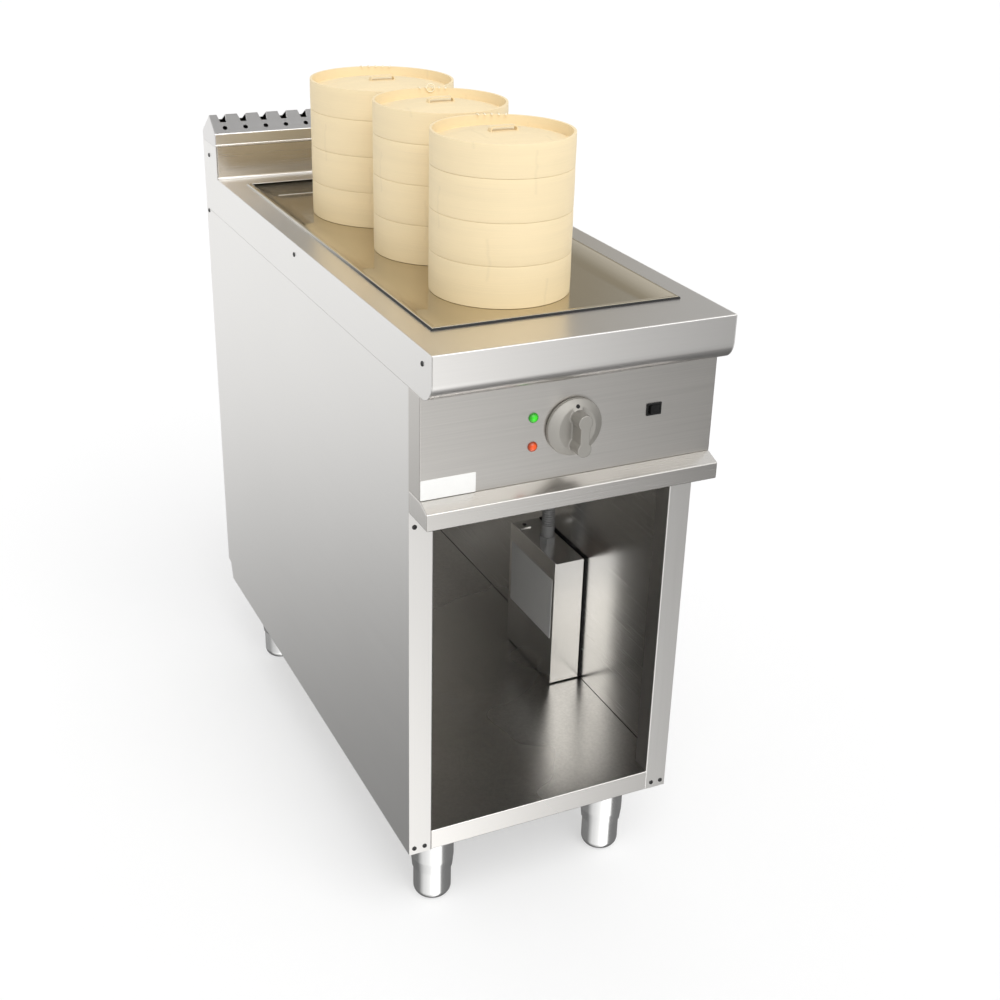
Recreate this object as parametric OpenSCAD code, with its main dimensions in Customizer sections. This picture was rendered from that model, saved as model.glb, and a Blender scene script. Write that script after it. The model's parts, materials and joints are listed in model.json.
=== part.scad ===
// Free-standing dumpling steamer: an open stainless cabinet with a shallow steaming well,
// a heated water tank below it, and stacks of bamboo baskets standing in the well.
// Millimetres. X runs across the front, Y towards the back, Z up from the floor,
// with the origin on the floor under the middle of the cabinet.

/* [Cabinet] */
// Width across the side panels
unit_w = 400; // [380:5:450]
// Depth from the worktop nose to the back
unit_d = 930; // [900:5:1000]
// Height of the worktop above the floor
worktop_h = 870; // [850:5:900]
// Height of the cabinet's underside above the floor
leg_h = 133; // [125:1:145]
// Thickness of the folded steel sheet
sheet = 1.5; // [1.2:0.1:1.8]
// How far the bottom rear corner of a side panel is cut back
corner_cut = 23; // [15:1:30]
// How far the rear edge of a side panel steps in above that cut
corner_step = 14; // [8:1:14]
// Height of that step
corner_lip = 3; // [2:0.5:6]

/* [Posts and floor] */
// Width of a front post
post_w = 32.5; // [28:0.5:38]
// Setback of the posts behind the worktop nose
post_back = 66; // [60:1:72]
// Depth of a front post
post_deep = 30; // [22:1:40]
// Height of the folded front edge of the cabinet floor
rail_h = 31; // [26:1:38]
// Depth of the fold under that front edge
rail_fold = 15; // [8:1:22]

/* [Worktop] */
// Thickness of the worktop sheet
worktop_sheet = 2; // [1.5:0.1:2.5]
// Height of the worktop's side band and rounded nose
trim_h = 60; // [52:1:66]
// Radius of the rounded lower edge of the nose
nose_r = 25; // [15:1:30]

/* [Steaming well] */
// Width of the well over its raised rim
well_w = 332; // [310:1:340]
// Setback of the well behind the worktop nose
well_back = 79; // [74:1:86]
// Gap from the well to the flue
well_gap = 51; // [40:1:60]
// Height of the well's rim above the worktop
rim_h = 3; // [2:0.5:5]
// Width of the flat rim
rim_flat = 5; // [3:0.5:8]
// Width of the sloping border, seen from above
border_w = 32; // [24:1:34]
// Depth of the well's floor below the worktop
well_deep = 10; // [8:0.5:14]
// Diameter of a steam hole in the floor
steam_hole_d = 26; // [18:1:30]
// Diameter of the ring of steam holes
steam_ring_d = 90; // [80:1:104]
// Steam holes in one ring
steam_holes = 6; // [3:1:6]

/* [Water tank] */
// Depth of the tank below the worktop sheet
tank_deep = 165; // [150:1:172]
// Width of the tank's hanging flange
tank_flange = 15; // [8:1:20]
// Diameter of the heating tube
element_d = 8.5; // [6:0.5:10]
// Spacing of the heating tube's runs
element_pitch = 30; // [24:1:36]
// Height of the heating tube above the tank bottom
element_up = 28; // [22:1:40]
// Gap from the heating tube's bends to the rear wall of the tank
element_gap = 60; // [30:1:120]
// Thickness of the heating tube's flange plate
element_plate = 4; // [3:0.5:6]
// Clearance of the heating tube in the tank wall
element_fit = 0.4; // [0.2:0.1:0.8]
// Hairpin bends of the heating tube
hairpins = 3; // [2:1:3]
// Distance of the flange plate's ends past the outer runs
element_edge = 21; // [14:1:24]
// Length of the terminal pins in front of the flange plate
element_pin = 16; // [10:1:20]

/* [Drain] */
// Side position of the drain pipe
drain_x = -80; // [-110:1:-60]
// Distance of the drain pipe from the back
drain_back = 235; // [200:1:300]
// Outside diameter of the drain pipe
drain_d = 26.4; // [22:0.1:30]
// Bore of the drain pipe
drain_bore = 20; // [14:0.5:20]
// Length of the drain pipe below the tank
drain_len = 145; // [135:1:160]
// Diameter of the valve body
valve_d = 40; // [36:1:46]
// Height of the valve body
valve_h = 45; // [38:1:50]
// Height of the valve body above the pipe's lower end
valve_up = 28; // [24:1:34]
// Diameter of the valve stem
stem_d = 8; // [6:0.5:10]
// Length of the drain lever
lever_len = 92; // [70:1:110]
// Width of the drain lever
lever_w = 14; // [11:0.5:18]
// Radial clearance of the lever on its stem
stem_fit = 0.05; // [0.02:0.01:0.08]
// Length of the stem past the lever
stem_tip = 2; // [1:0.5:4]
// Length of the valve's boss in front of its body
boss_len = 12; // [9:0.5:16]
// Wall of that boss around the stem
boss_wall = 4; // [3:0.5:6]
// Thickness of the lever's hub
hub_h = 6; // [5:0.5:8]
// Wall of that hub around the stem
hub_wall = 7; // [5:0.5:9]
// Running gap between the lever and the boss
lever_gap = 0.3; // [0.2:0.05:0.5]
// Height of the drain pipe's flange under the tank
drain_flange_h = 6; // [4:0.5:8]
// Width of that flange around the pipe
drain_flange_w = 7; // [5:0.5:9]

/* [Flue] */
// Depth of the flue at the back
flue_d = 73; // [66:1:80]
// Height of the flue cheeks above the worktop
cheek_h = 50; // [40:1:60]
// Height of the upright skirt of the flue cap
skirt_h = 19.6; // [14:0.1:24]
// Height of the cap's ridge above its lower edge
ridge_h = 44.4; // [38:0.1:50]
// Distance of the ridge behind the flue front
ridge_back = 29.6; // [24:0.1:36]
// Height of the cap's rear edge above its lower edge
rear_skirt_h = 13; // [9:0.5:18]
// Notches along the ridge
notches = 12; // [8:1:12]
// Distance of the first notch from the cap's end
notch_end = 19.3; // [17:0.1:26]
// Width of a notch at the ridge
notch_w = 14.8; // [10:0.1:16]
// Width of a notch at its bottom
notch_foot = 9; // [5:0.1:9.5]
// Depth of a notch
notch_h = 10.5; // [7:0.1:12]
// Diameter of the hole under a notch
vent_d = 7.5; // [5:0.1:8.5]
// Height of the collar that locates the cap
collar_h = 8; // [5:0.5:10]
// Gap between the cap and its seat
cap_gap = 0.3; // [0.2:0.1:0.6]
// Side clearance of the cap around its collar
collar_fit = 1; // [0.6:0.1:1.4]

/* [Control panel] */
// Setback of the control panel behind the worktop nose
panel_back = 33; // [33:0.5:40]
// Height of the control panel
panel_h = 132; // [124:1:140]
// How far the drip ledge stands out past the panel
ledge_out = 22; // [16:1:26]
// Fall of the drip ledge to its lip
ledge_fall = 8; // [5:0.5:12]
// Height of the ledge's lip
ledge_lip = 22; // [18:1:28]

/* [Thermostat and knob] */
// Side position of the knob
knob_x = -0.5; // [-20:0.5:30]
// Height of the knob above the ledge
knob_up = 66; // [62:0.5:76]
// Diameter of the knob's skirt
knob_d = 74; // [66:1:80]
// Height of the knob's upright edge
knob_edge = 5; // [3:0.5:7]
// Height of the knob's domed skirt
knob_dome = 17; // [14:0.5:19]
// Overall height of the knob
knob_h = 32; // [26:0.5:32]
// Running gap between the knob and the panel
knob_gap = 0.8; // [0.5:0.1:1]
// Length of the knob's grip
grip_len = 49; // [44:1:60]
// How much further the grip reaches below the knob's middle than above it
grip_tail = 5; // [4:0.5:9]
// Width of the grip at its waist
grip_waist = 12.5; // [10:0.5:15]
// Width of the grip at its ends
grip_end = 19; // [16:0.5:22]
// Height of the finger pockets' floor beside the grip
pocket_floor = 10.5; // [9.5:0.5:12]
// Slope of the finger pockets
pocket_slope = 4; // [2:0.5:8]
// Diameter of the thermostat shaft
shaft_d = 6; // [5:0.5:7]
// Radial clearance around the shaft
shaft_fit = 0.05; // [0.02:0.01:0.08]
// Gap at each end of the shaft
shaft_end_gap = 1; // [0.5:0.1:1.5]
// Thickness of the knob's grip over the shaft
knob_roof = 8; // [6:0.5:10]
// Diameter of the threaded bush
bush_d = 10; // [9:0.5:12]
// Length of the bush in front of the panel
bush_out = 5.5; // [4.5:0.5:7]
// Thickness of the bush nut
bush_nut = 3; // [2:0.5:4]
// Width of the bush nut across its corners
bush_nut_w = 17; // [15:0.5:18]
// Gap around the nut and bush in the recess under the knob
recess_gap = 1.5; // [1:0.1:2]
// Side of the square thermostat body
stat_w = 36; // [30:1:44]
// Depth of the thermostat body
stat_deep = 26; // [22:1:30]

/* [Lamps and switch] */
// Side position of the pilot lamps
lamp_x = -54.2; // [-75:0.1:-52]
// Height of the middle of the lamps above the ledge
lamp_up = 65.5; // [60:0.5:74]
// Distance between the lamps
lamp_gap = 37.3; // [28:0.1:44]
// Diameter of a lamp's lens
lamp_d = 12.6; // [11:0.1:15]
// Height of a lamp's lens
lamp_h = 4.6; // [3:0.1:5]
// Diameter of a lamp's body behind the panel
lamp_body_d = 10; // [8:0.1:10.5]
// Length of a lamp's body behind the panel
lamp_deep = 24; // [16:1:30]
// Thickness of a lamp's flange
lamp_flange = 1.2; // [0.8:0.1:1.6]
// Step from the edge of that flange in to the lens
lens_in = 0.5; // [0.3:0.1:0.8]
// Side position of the switch
switch_x = 112.2; // [90:0.1:140]
// Height of the switch above the ledge
switch_up = 70.5; // [60:0.5:80]
// Width of the switch bezel
switch_w = 21; // [20:0.1:24]
// Height of the switch bezel
switch_h = 16; // [15:0.1:19]
// Width of the bezel's border
switch_border = 2.4; // [2:0.1:2.8]
// How far the bezel stands out from the panel
switch_out = 1.8; // [1.2:0.1:2.4]
// Depth of the switch body behind the panel
switch_deep = 20; // [16:1:26]
// How far the bezel laps over its hole on each side
switch_lap = 1; // [0.6:0.1:1.4]
// Thickness of the switch body's rear wall
switch_floor = 3; // [2:0.5:4]
// Half of the rocker's full swing, in degrees
rocker_tilt = 9; // [6:0.5:10]
// Diameter of the rocker's pivot pins
rocker_pin_d = 2; // [1.6:0.1:2.4]
// Depth of the rocker's pivot behind the panel's front
pivot_deep = 4; // [3.5:0.1:4.5]
// Depth of the rocker behind its pivot
rocker_deep = 4; // [3:0.5:5]
// How far the rocker's edges would stand out past the bezel if it were level
rocker_out = 1.2; // [0.8:0.1:1.6]
// Clearance of the rocker's corners in the bezel
rocker_end_gap = 0.5; // [0.3:0.1:0.8]
// Clearance of the rocker's sides in the bezel
rocker_side_gap = 0.4; // [0.2:0.1:0.6]
// Depth of the pins' holes in the bezel's sides
pin_in = 1; // [0.8:0.1:1.2]
// Clearance at the ends of the pins
pin_gap = 0.3; // [0.2:0.05:0.4]
// Clearance of parts that pass through the panel
panel_fit = 0.3; // [0.2:0.05:0.5]

/* [Junction box] */
// Width of the junction box
jbox_w = 50; // [44:1:56]
// Depth of the junction box
jbox_d = 154; // [140:1:170]
// Height of the junction box
jbox_h = 212; // [180:1:230]
// Distance of the box's front from the worktop nose
jbox_back = 325; // [280:1:380]
// Gap from the box to the side panel
jbox_gap = 4; // [3:0.5:8]
// Gap under the box
jbox_foot = 2; // [1:0.5:4]
// Diameter of the spacers behind the box
jbox_spacer_d = 12; // [8:1:16]
// Length of the tab that holds the cover
tab_len = 22; // [18:1:24]
// Width of the tab that holds the cover
tab_w = 20; // [12:1:24]
// Distance of the tab's middle from the box's rear
tab_back = 17; // [14:0.5:24]
// Height of the terminal block
block_h = 24; // [16:1:28]

/* [Conduit] */
// Outside diameter of the ribbed conduit
conduit_d = 20; // [17:0.5:22]
// Bore of the conduit
conduit_bore = 12.6; // [9:0.1:12.6]
// Depth of a rib
rib_deep = 1.6; // [1:0.1:1.8]
// Spacing of the ribs
rib_pitch = 4; // [3:0.1:6]
// Distance of the conduit from the box's left face
conduit_in = 26; // [24:0.5:28]
// Height of a conduit end nut
nut_h = 9; // [6:0.5:12]
// Width of a conduit end nut across its corners
nut_d = 26; // [23:0.5:28]
// Wall of the conduit's threaded ends
spigot_wall = 1.5; // [1.2:0.1:1.8]
// Reach of the threaded ends past the sheet they hold
spigot_tail = 6; // [4:0.5:8]
// Clearance of an end nut on its thread
nut_fit = 0.4; // [0.3:0.05:0.5]

/* [Legs] */
// Side position of the legs
leg_x = 137; // [120:1:140]
// Distance of the front legs from the worktop nose
leg_front = 134; // [125:1:160]
// Distance of the rear legs from the back
leg_rear = 90; // [75:1:110]
// Diameter of a leg sleeve
sleeve_d = 61; // [60:0.5:66]
// Diameter of an adjustable foot
foot_d = 54; // [48:0.5:54]
// Height of the sleeve's lower end above the floor
sleeve_z = 51; // [45:1:58]
// Height of the sleeve's taper
sleeve_taper = 17; // [10:1:20]
// Wall of the sleeve at its lower end
sleeve_lip = 1.6; // [1:0.1:2]
// Radius of a foot's rounded lower edge
foot_round = 14; // [8:1:18]
// Length of a foot
foot_len = 116; // [100:1:118]
// Radial clearance of a foot in its sleeve
foot_fit = 0.3; // [0.2:0.05:0.4]
// Width of the square plate on a sleeve
leg_plate_w = 78; // [70:1:84]
// Thickness of that plate
leg_plate = 3; // [2:0.5:5]

/* [Baskets] */
// Side position of the basket stacks
stack_x = -9.5; // [-20:0.5:20]
// Length of the well that the sizes and gaps below are for; they keep their share of any other
basket_well = 727; // [720:1:740]
// Distance of the front stack's rim from the front of the well
stack_front = 58.7; // [45:0.1:64]
// Diameter of the front and middle baskets
small_d = 181; // [170:1:184]
// Diameter of the back baskets
large_d = 208; // [190:1:212]
// Gap between the front and middle stacks
stack_gap_1 = 11; // [6:0.5:14]
// Gap between the middle and back stacks
stack_gap_2 = 18.5; // [6:0.5:22]
// Height of a small tier
small_tier_h = 53; // [48:0.5:58]
// Height of a large tier
large_tier_h = 50.5; // [46:0.5:58]
// Height of a lid's hoop
lid_h = 41; // [36:0.5:46]
// Thickness of a hoop
hoop_wall = 4; // [3:0.1:5]
// Thickness of the inner ring of a tier
ring_wall = 3.5; // [2.5:0.1:4.5]
// How far the inner ring reaches into the tier above
ring_lap = 4; // [3:0.5:5]
// Clearance of that lap
lap_fit = 0.5; // [0.3:0.1:0.8]
// Height of the inner ring's foot above the tier's edge
ring_up = 6; // [5.5:0.5:8]
// Width of the shelf that carries the slats
shelf_w = 6; // [4:0.5:8]
// Thickness of that shelf
shelf_h = 4; // [3:0.5:6]
// Gap between stacked pieces
seam = 0.3; // [0.2:0.05:0.5]
// Width of a floor slat
slat_w = 11; // [8:0.5:14]
// Gap between floor slats
slat_gap = 3.5; // [2:0.5:5]
// Thickness of a floor slat
slat_h = 2.4; // [1.6:0.1:3]
// Width of the battens under the slats
batten_w = 10; // [8:0.5:12]
// Clearance of the battens inside the shelf
batten_fit = 1; // [0.6:0.1:1.5]
// Thickness of a lid's dome
dome_wall = 2.5; // [1.8:0.1:3]
// Rise of a lid's dome
dome_rise = 12; // [9:0.5:14]
// Height of the dome's edge above the lid's lower edge
dome_up = 27; // [22:0.5:28]
// Height of the ring that carries the dome
lid_ring_h = 5; // [4:0.5:7]
// Length of the strap on a lid
strap_len = 37; // [32:1:44]
// Width of the strap
strap_w = 8; // [6:0.5:10]
// Thickness of the strap
strap_h = 1.6; // [1.2:0.1:2]
// Width of the strap's feet
strap_foot = 3.5; // [2.5:0.5:4.5]
// Finger gap under the strap
strap_gap = 4.5; // [4.4:0.1:6]

/* [Screws and cable] */
// Diameter of a screw head
screw_d = 6.4; // [5:0.1:7]
// Height of a screw head
screw_h = 1.3; // [1:0.1:2]
// Diameter of a screw shank
shank_d = 3.2; // [2.5:0.1:3.5]
// Clearance of a screw shank
shank_fit = 0.1; // [0.05:0.05:0.2]
// Diameter of the supply cable's entry in the back panel
cable_d = 25; // [16:0.5:32]
// Height of the cable entry above the cabinet floor
cable_up = 60; // [40:1:120]
// Side position of the cable entry
cable_x = 100; // [60:1:130]

/* [Hidden] */
$fn = 96;

// Overlap that carries a cut cleanly past a face
cut = 1;

// Main planes of the cabinet
front = -unit_d / 2;
back = unit_d / 2;
side = unit_w / 2;
inner = side - sheet;
floor_z = leg_h + rail_h;
trim_z = worktop_h - trim_h;
ledge_z = trim_z - panel_h;
lip_z = ledge_z - ledge_fall - ledge_lip;
post_y = front + post_back;
post_in = side - post_w;
panel_y = front + panel_back;
flue_y = back - flue_d;
cheek_z = worktop_h + cheek_h;
under_floor = floor_z - sheet;

// Steaming well: the floor, the rim and the sheet below them
well_front = front + well_back;
well_rear = flue_y - well_gap;
well_z = worktop_h - well_deep;
rim_z = worktop_h + rim_h;
border_in = rim_flat + border_w;
fall = well_deep + rim_h;
// Clearance around the well where it hangs through the worktop
well_fit = 0.8;
// Distance of the worktop's cut-out inside the rim: clear of the sloping sheet
well_cut = rim_flat + border_w * (rim_h - sheet) / fall - well_fit;

// Tank: its walls stand just outside the worktop's cut-out
tank_x = well_w / 2 - well_cut + well_fit;
tank_y0 = well_front + well_cut - well_fit;
tank_y1 = well_rear - well_cut + well_fit;
tank_top = worktop_h - worktop_sheet;
tank_z = tank_top - tank_deep;
element_z = tank_z + sheet + element_up;
run_xs = [for (i = [-hairpins : hairpins - 1]) (i + 0.5) * element_pitch];
bend_xs = [for (i = [0 : hairpins - 1]) (2 * i + 1 - hairpins) * element_pitch];

// Drain
drain_y = back - drain_back;
drain_z = tank_z - drain_len;
valve_z = drain_z + valve_up;
stem_z = valve_z + valve_h / 2;
boss_out = valve_d / 2 + boss_len;
lever_y = drain_y - boss_out;
hub_d = stem_d + 2 * hub_wall;

// Control positions on the panel
knob_z = ledge_z + knob_up;
lamp_z = ledge_z + lamp_up;
switch_z = ledge_z + switch_up;

// Rocker: its pivot lies behind the panel's front, and its corners sweep inside the bezel
switch_body_w = switch_w - 2 * switch_lap;
switch_body_h = switch_h - 2 * switch_lap;
pocket_w = switch_w - 2 * switch_border;
pocket_h = switch_h - 2 * switch_border;
rocker_top = pivot_deep + switch_out + rocker_out;
rocker_half = (pocket_w / 2 - rocker_end_gap - rocker_top * sin(rocker_tilt)) / cos(rocker_tilt);

// Junction box
jbox_x1 = inner - jbox_gap;
jbox_x0 = jbox_x1 - jbox_w;
jbox_y0 = front + jbox_back;
jbox_y1 = jbox_y0 + jbox_d;
jbox_z0 = floor_z + jbox_foot;
jbox_z1 = jbox_z0 + jbox_h;
conduit_x = jbox_x0 + conduit_in;
conduit_y = (jbox_y0 + jbox_y1) / 2;
tab_y = jbox_y1 - tab_back;
tab_screw_x = jbox_x0 + tab_len - shank_d * 2;
spigot_d = conduit_bore + 2 * spigot_wall;

// Legs
sleeve_top = under_floor - leg_plate;
leg_ys = [front + leg_front, back - leg_rear];

// Basket stacks as [x, y, outer radius, tier height]
base_z = well_z + seam;
well_share = (well_rear - well_front) / basket_well;
small_r = small_d / 2 * well_share;
large_r = large_d / 2 * well_share;
front_y = well_front + stack_front * well_share + small_r;
middle_y = front_y + 2 * small_r + stack_gap_1 * well_share;
back_y = middle_y + small_r + stack_gap_2 * well_share + large_r;
front_stack = [stack_x, front_y, small_r, small_tier_h];
middle_stack = [stack_x, middle_y, small_r, small_tier_h];
back_stack = [stack_x, back_y, large_r, large_tier_h];
stacks = [front_stack, middle_stack, back_stack];

// Screws on the side bands, as [distance behind the nose, height above the band's seam]
band_screws = [[25.7, trim_h - 17.4], [477.6, trim_h - 16.4], [unit_d - 32, trim_h + 30]];
// Screw at the back of each side panel, just under the seam, in the same way
side_screw = [unit_d - 12, -3.5];
// Screws on the front of a post, as [distance from its outer edge, height]
post_foot_screws = [[7.5, leg_h + 9.5], [22.5, leg_h + 9.5]];
post_head_screw = [7.5, lip_z - 20];

// Colours of the finishes
steel = "gainsboro";
bright_steel = "silver";
dark_steel = "darkgray";
bamboo = "wheat";

// Points of a folded path, each moved by t to the right of the path's direction
function right_of(a, b) = let (d = (b - a) / norm(b - a)) [d[1], -d[0]];
function mitre(a, b, c, t) = let (m = right_of(a, b), n = right_of(b, c)) b + t * (m + n) / (1 + m * n);
function inset(p, t) = [for (i = [0 : len(p) - 1])
    i == 0 ? p[0] + t * right_of(p[0], p[1])
    : i == len(p) - 1 ? p[i] + t * right_of(p[i - 1], p[i])
    : mitre(p[i - 1], p[i], p[i + 1], t)];
function reversed(p) = [for (i = [len(p) - 1 : -1 : 0]) p[i]];

// Outline of a sheet folded along a path, seen end on
module folded(p, t) {
    polygon(concat(p, reversed(inset(p, t))));
}

// Extrudes an outline drawn in Y and Z along X
module along_x(x0, x1) {
    translate([x0, 0, 0]) rotate([90, 0, 90]) linear_extrude(x1 - x0) children();
}

// Extrudes an outline drawn in X and Z along Y
module along_y(y0, y1) {
    translate([0, y1, 0]) rotate([90, 0, 0]) linear_extrude(y1 - y0) children();
}

// Box between two corners
module slab(a, b) {
    translate(a) cube(b - a);
}

// Child drawn with Z out of the control panel, placed on the panel's front face
module on_panel(x, z) {
    translate([x, panel_y, z]) rotate([90, 0, 0]) children();
}

// Sheet from the outer face of one side of the cabinet inwards
module side_sheet(s) {
    along_x(s < 0 ? -side : inner, s < 0 ? -inner : side) children();
}

// Hole across both sides for a screw's shank, at a distance behind the nose and a height above the seam
module shank_hole(p) {
    translate([-side - cut, front + p[0], trim_z + p[1]]) rotate([0, 90, 0])
        cylinder(d = shank_d + 2 * shank_fit, h = unit_w + 2 * cut);
}

// Flat side panel with its cut lower rear corner
module side_panel(s) {
    color(steel) difference() {
        side_sheet(s) polygon([
            [post_y + sheet, leg_h], [post_y + sheet, trim_z], [back, trim_z], [back, floor_z],
            [back - corner_step, floor_z - corner_lip], [back - corner_cut, leg_h]
        ]);
        shank_hole(side_screw);
    }
}

// Back panel with the supply cable's entry
module back_panel() {
    color(steel) difference() {
        slab([-inner, back - sheet, floor_z], [inner, back, trim_z]);
        translate([cable_x, back + cut, floor_z + cable_up])
            rotate([90, 0, 0]) cylinder(d = cable_d, h = sheet + 2 * cut);
    }
}

// Flat sheet across the cabinet, notched round both posts
module notched_sheet(z0, z1) {
    slab([-inner, post_y + post_deep, z0], [inner, back - sheet, z1]);
    slab([-post_in, post_y, z0], [post_in, post_y + post_deep + cut, z1]);
}

// Cabinet floor, folded down in front as the bottom rail
module cabinet_floor() {
    color(dark_steel) {
        notched_sheet(under_floor, floor_z);
        slab([-post_in, post_y, leg_h], [post_in, post_y + sheet, floor_z]);
        slab([-post_in, post_y, leg_h], [post_in, post_y + rail_fold, leg_h + sheet]);
    }
}

// Ceiling of the cabinet, folded up in front behind the drip ledge
module service_deck() {
    color(dark_steel) difference() {
        union() {
            notched_sheet(lip_z, lip_z + sheet);
            slab([-post_in, post_y, lip_z], [post_in, post_y + sheet, ledge_z]);
        }
        translate([conduit_x, conduit_y, lip_z - cut])
            cylinder(d = spigot_d + 2 * panel_fit, h = sheet + 2 * cut);
        translate([drain_x, drain_y, lip_z - cut])
            cylinder(d = drain_d + 2 * panel_fit, h = sheet + 2 * cut);
    }
}

// Front post: a channel with its web facing forwards
module front_post(s) {
    holes = s < 0 ? concat(post_foot_screws, [post_head_screw]) : post_foot_screws;
    color(steel) scale([-s, 1, 1]) difference() {
        translate([0, 0, leg_h]) linear_extrude(trim_z - leg_h) polygon([
            [-side, post_y], [-post_in, post_y], [-post_in, post_y + post_deep],
            [-post_in - sheet, post_y + post_deep], [-post_in - sheet, post_y + sheet],
            [-inner + sheet, post_y + sheet], [-inner + sheet, post_y + post_deep],
            [-inner, post_y + post_deep], [-inner, post_y + sheet], [-side, post_y + sheet]
        ]);
        for (p = holes) translate([-side + p[0], post_y + 2 * sheet, p[1]])
            rotate([90, 0, 0]) cylinder(d = shank_d + 2 * shank_fit, h = 4 * sheet);
    }
}

// Control panel: a shallow tray that stands out in front of the posts
module control_panel() {
    color(steel) difference() {
        slab([-side, panel_y, ledge_z], [side, post_y, trim_z]);
        slab([-inner, panel_y + sheet, ledge_z + sheet], [inner, post_y + cut, trim_z - sheet]);
        on_panel(knob_x, knob_z) translate([0, 0, -sheet - cut])
            cylinder(d = bush_d + 2 * panel_fit, h = sheet + 2 * cut);
        for (v = [-1, 1]) on_panel(lamp_x, lamp_z + v * lamp_gap / 2) translate([0, 0, -sheet - cut])
            cylinder(d = lamp_body_d + 2 * panel_fit, h = sheet + 2 * cut);
        on_panel(switch_x, switch_z) translate([0, 0, -sheet / 2])
            cube([switch_body_w + 2 * panel_fit, switch_body_h + 2 * panel_fit, sheet + 2 * cut],
                 center = true);
    }
}

// Drip ledge: a folded strip with closed ends that sheds water ahead of the cabinet opening
module drip_ledge() {
    lip_y = panel_y - ledge_out;
    outline = [
        [post_y, lip_z], [lip_y, lip_z], [lip_y, lip_z + ledge_lip], [panel_y, ledge_z], [post_y, ledge_z]
    ];
    color(steel) {
        along_x(-side, side) folded(outline, sheet);
        for (x = [-side, side - sheet]) along_x(x, x + sheet) polygon(outline);
    }
}

// End-on outline of the rounded nose, inset by t and reaching back to y
module nose(t, y) {
    translate([front + t, trim_z + nose_r]) square([y - front - t, trim_h - nose_r - t]);
    translate([front + nose_r, trim_z + t]) square([y - front - nose_r, trim_h - 2 * t]);
    translate([front + nose_r, trim_z + nose_r]) circle(nose_r - t);
}

// Worktop with its rounded nose and the cut-out for the steaming well
module worktop() {
    color(bright_steel) difference() {
        union() {
            along_x(-inner, inner) difference() {
                nose(0, post_y);
                nose(worktop_sheet, post_y + cut);
            }
            slab([-inner, post_y - cut, worktop_h - worktop_sheet], [inner, flue_y, worktop_h]);
        }
        slab([-well_w / 2 + well_cut, well_front + well_cut, worktop_h - worktop_sheet - cut],
             [well_w / 2 - well_cut, well_rear - well_cut, worktop_h + cut]);
    }
}

// Side band that closes the worktop's end and rises as the flue's cheek
module end_trim(s) {
    color(steel) difference() {
        side_sheet(s) {
            nose(0, back);
            translate([flue_y, worktop_h - cut]) square([flue_d, cheek_h + cut]);
        }
        for (p = band_screws) shank_hole(p);
    }
}

// Space of the steaming well: two crossing prisms meet in a sloping-sided dish
module dish(drop) {
    top = rim_z + cut;
    run = border_w * (fall + cut) / fall;
    x_in = well_w / 2 - border_in;
    y0_in = well_front + border_in;
    y1_in = well_rear - border_in;
    translate([0, 0, -drop]) intersection() {
        along_y(well_front - cut, well_rear + cut)
            polygon([[-x_in, well_z], [x_in, well_z], [x_in + run, top], [-x_in - run, top]]);
        along_x(-well_w / 2 - cut, well_w / 2 + cut)
            polygon([[y0_in, well_z], [y1_in, well_z], [y1_in + run, top], [y0_in - run, top]]);
    }
}

// Steaming well: raised rim, sloping border and a floor with rings of steam holes
module steaming_well() {
    color(bright_steel) difference() {
        union() {
            slab([-well_w / 2, well_front, worktop_h], [well_w / 2, well_rear, rim_z]);
            intersection() {
                dish(sheet);
                slab([-side, front, 0], [side, back, rim_z]);
            }
        }
        dish(0);
        for (s = stacks) translate([s[0], s[1], well_z - sheet - cut]) {
            cylinder(d = steam_hole_d, h = sheet + 2 * cut);
            for (i = [0 : steam_holes - 1]) rotate(i * 360 / steam_holes) translate([steam_ring_d / 2, 0, 0])
                cylinder(d = steam_hole_d, h = sheet + 2 * cut);
        }
    }
}

// Water tank hung under the worktop by its flange
module water_tank() {
    color(dark_steel) difference() {
        union() {
            slab([-tank_x - sheet, tank_y0 - sheet, tank_z], [tank_x + sheet, tank_y1 + sheet, tank_top]);
            slab([-tank_x - tank_flange, tank_y0 - tank_flange, tank_top - sheet],
                 [tank_x + tank_flange, tank_y1 + tank_flange, tank_top]);
        }
        slab([-tank_x, tank_y0, tank_z + sheet], [tank_x, tank_y1, tank_top + cut]);
        for (x = run_xs) translate([x, tank_y0 + cut, element_z]) rotate([90, 0, 0])
            cylinder(d = element_d + 2 * element_fit, h = sheet + 2 * cut);
        translate([drain_x, drain_y, tank_z - cut])
            cylinder(d = drain_d + 2 * panel_fit, h = sheet + 2 * cut);
    }
}

// Heating element: hairpin tubes on a flange plate with terminal pins in front
module heating_element() {
    bend_y = tank_y1 - element_gap - element_pitch / 2 - element_d / 2;
    plate_y = tank_y0 - sheet;
    plate_x = (hairpins - 0.5) * element_pitch + element_edge;
    color(dark_steel) {
        for (x = run_xs) translate([x, bend_y, element_z]) rotate([90, 0, 0])
            cylinder(d = element_d, h = bend_y - plate_y + element_plate / 2);
        for (x = bend_xs) translate([x, bend_y, element_z])
            rotate_extrude(angle = 180) translate([element_pitch / 2, 0]) circle(d = element_d);
        slab([-plate_x, plate_y - element_plate, element_z - element_pitch / 2],
             [plate_x, plate_y, element_z + element_pitch / 2]);
        for (x = run_xs) translate([x, plate_y - element_plate / 2, element_z])
            rotate([90, 0, 0]) cylinder(d = element_d / 2, h = element_pin + element_plate / 2);
    }
}

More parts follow.
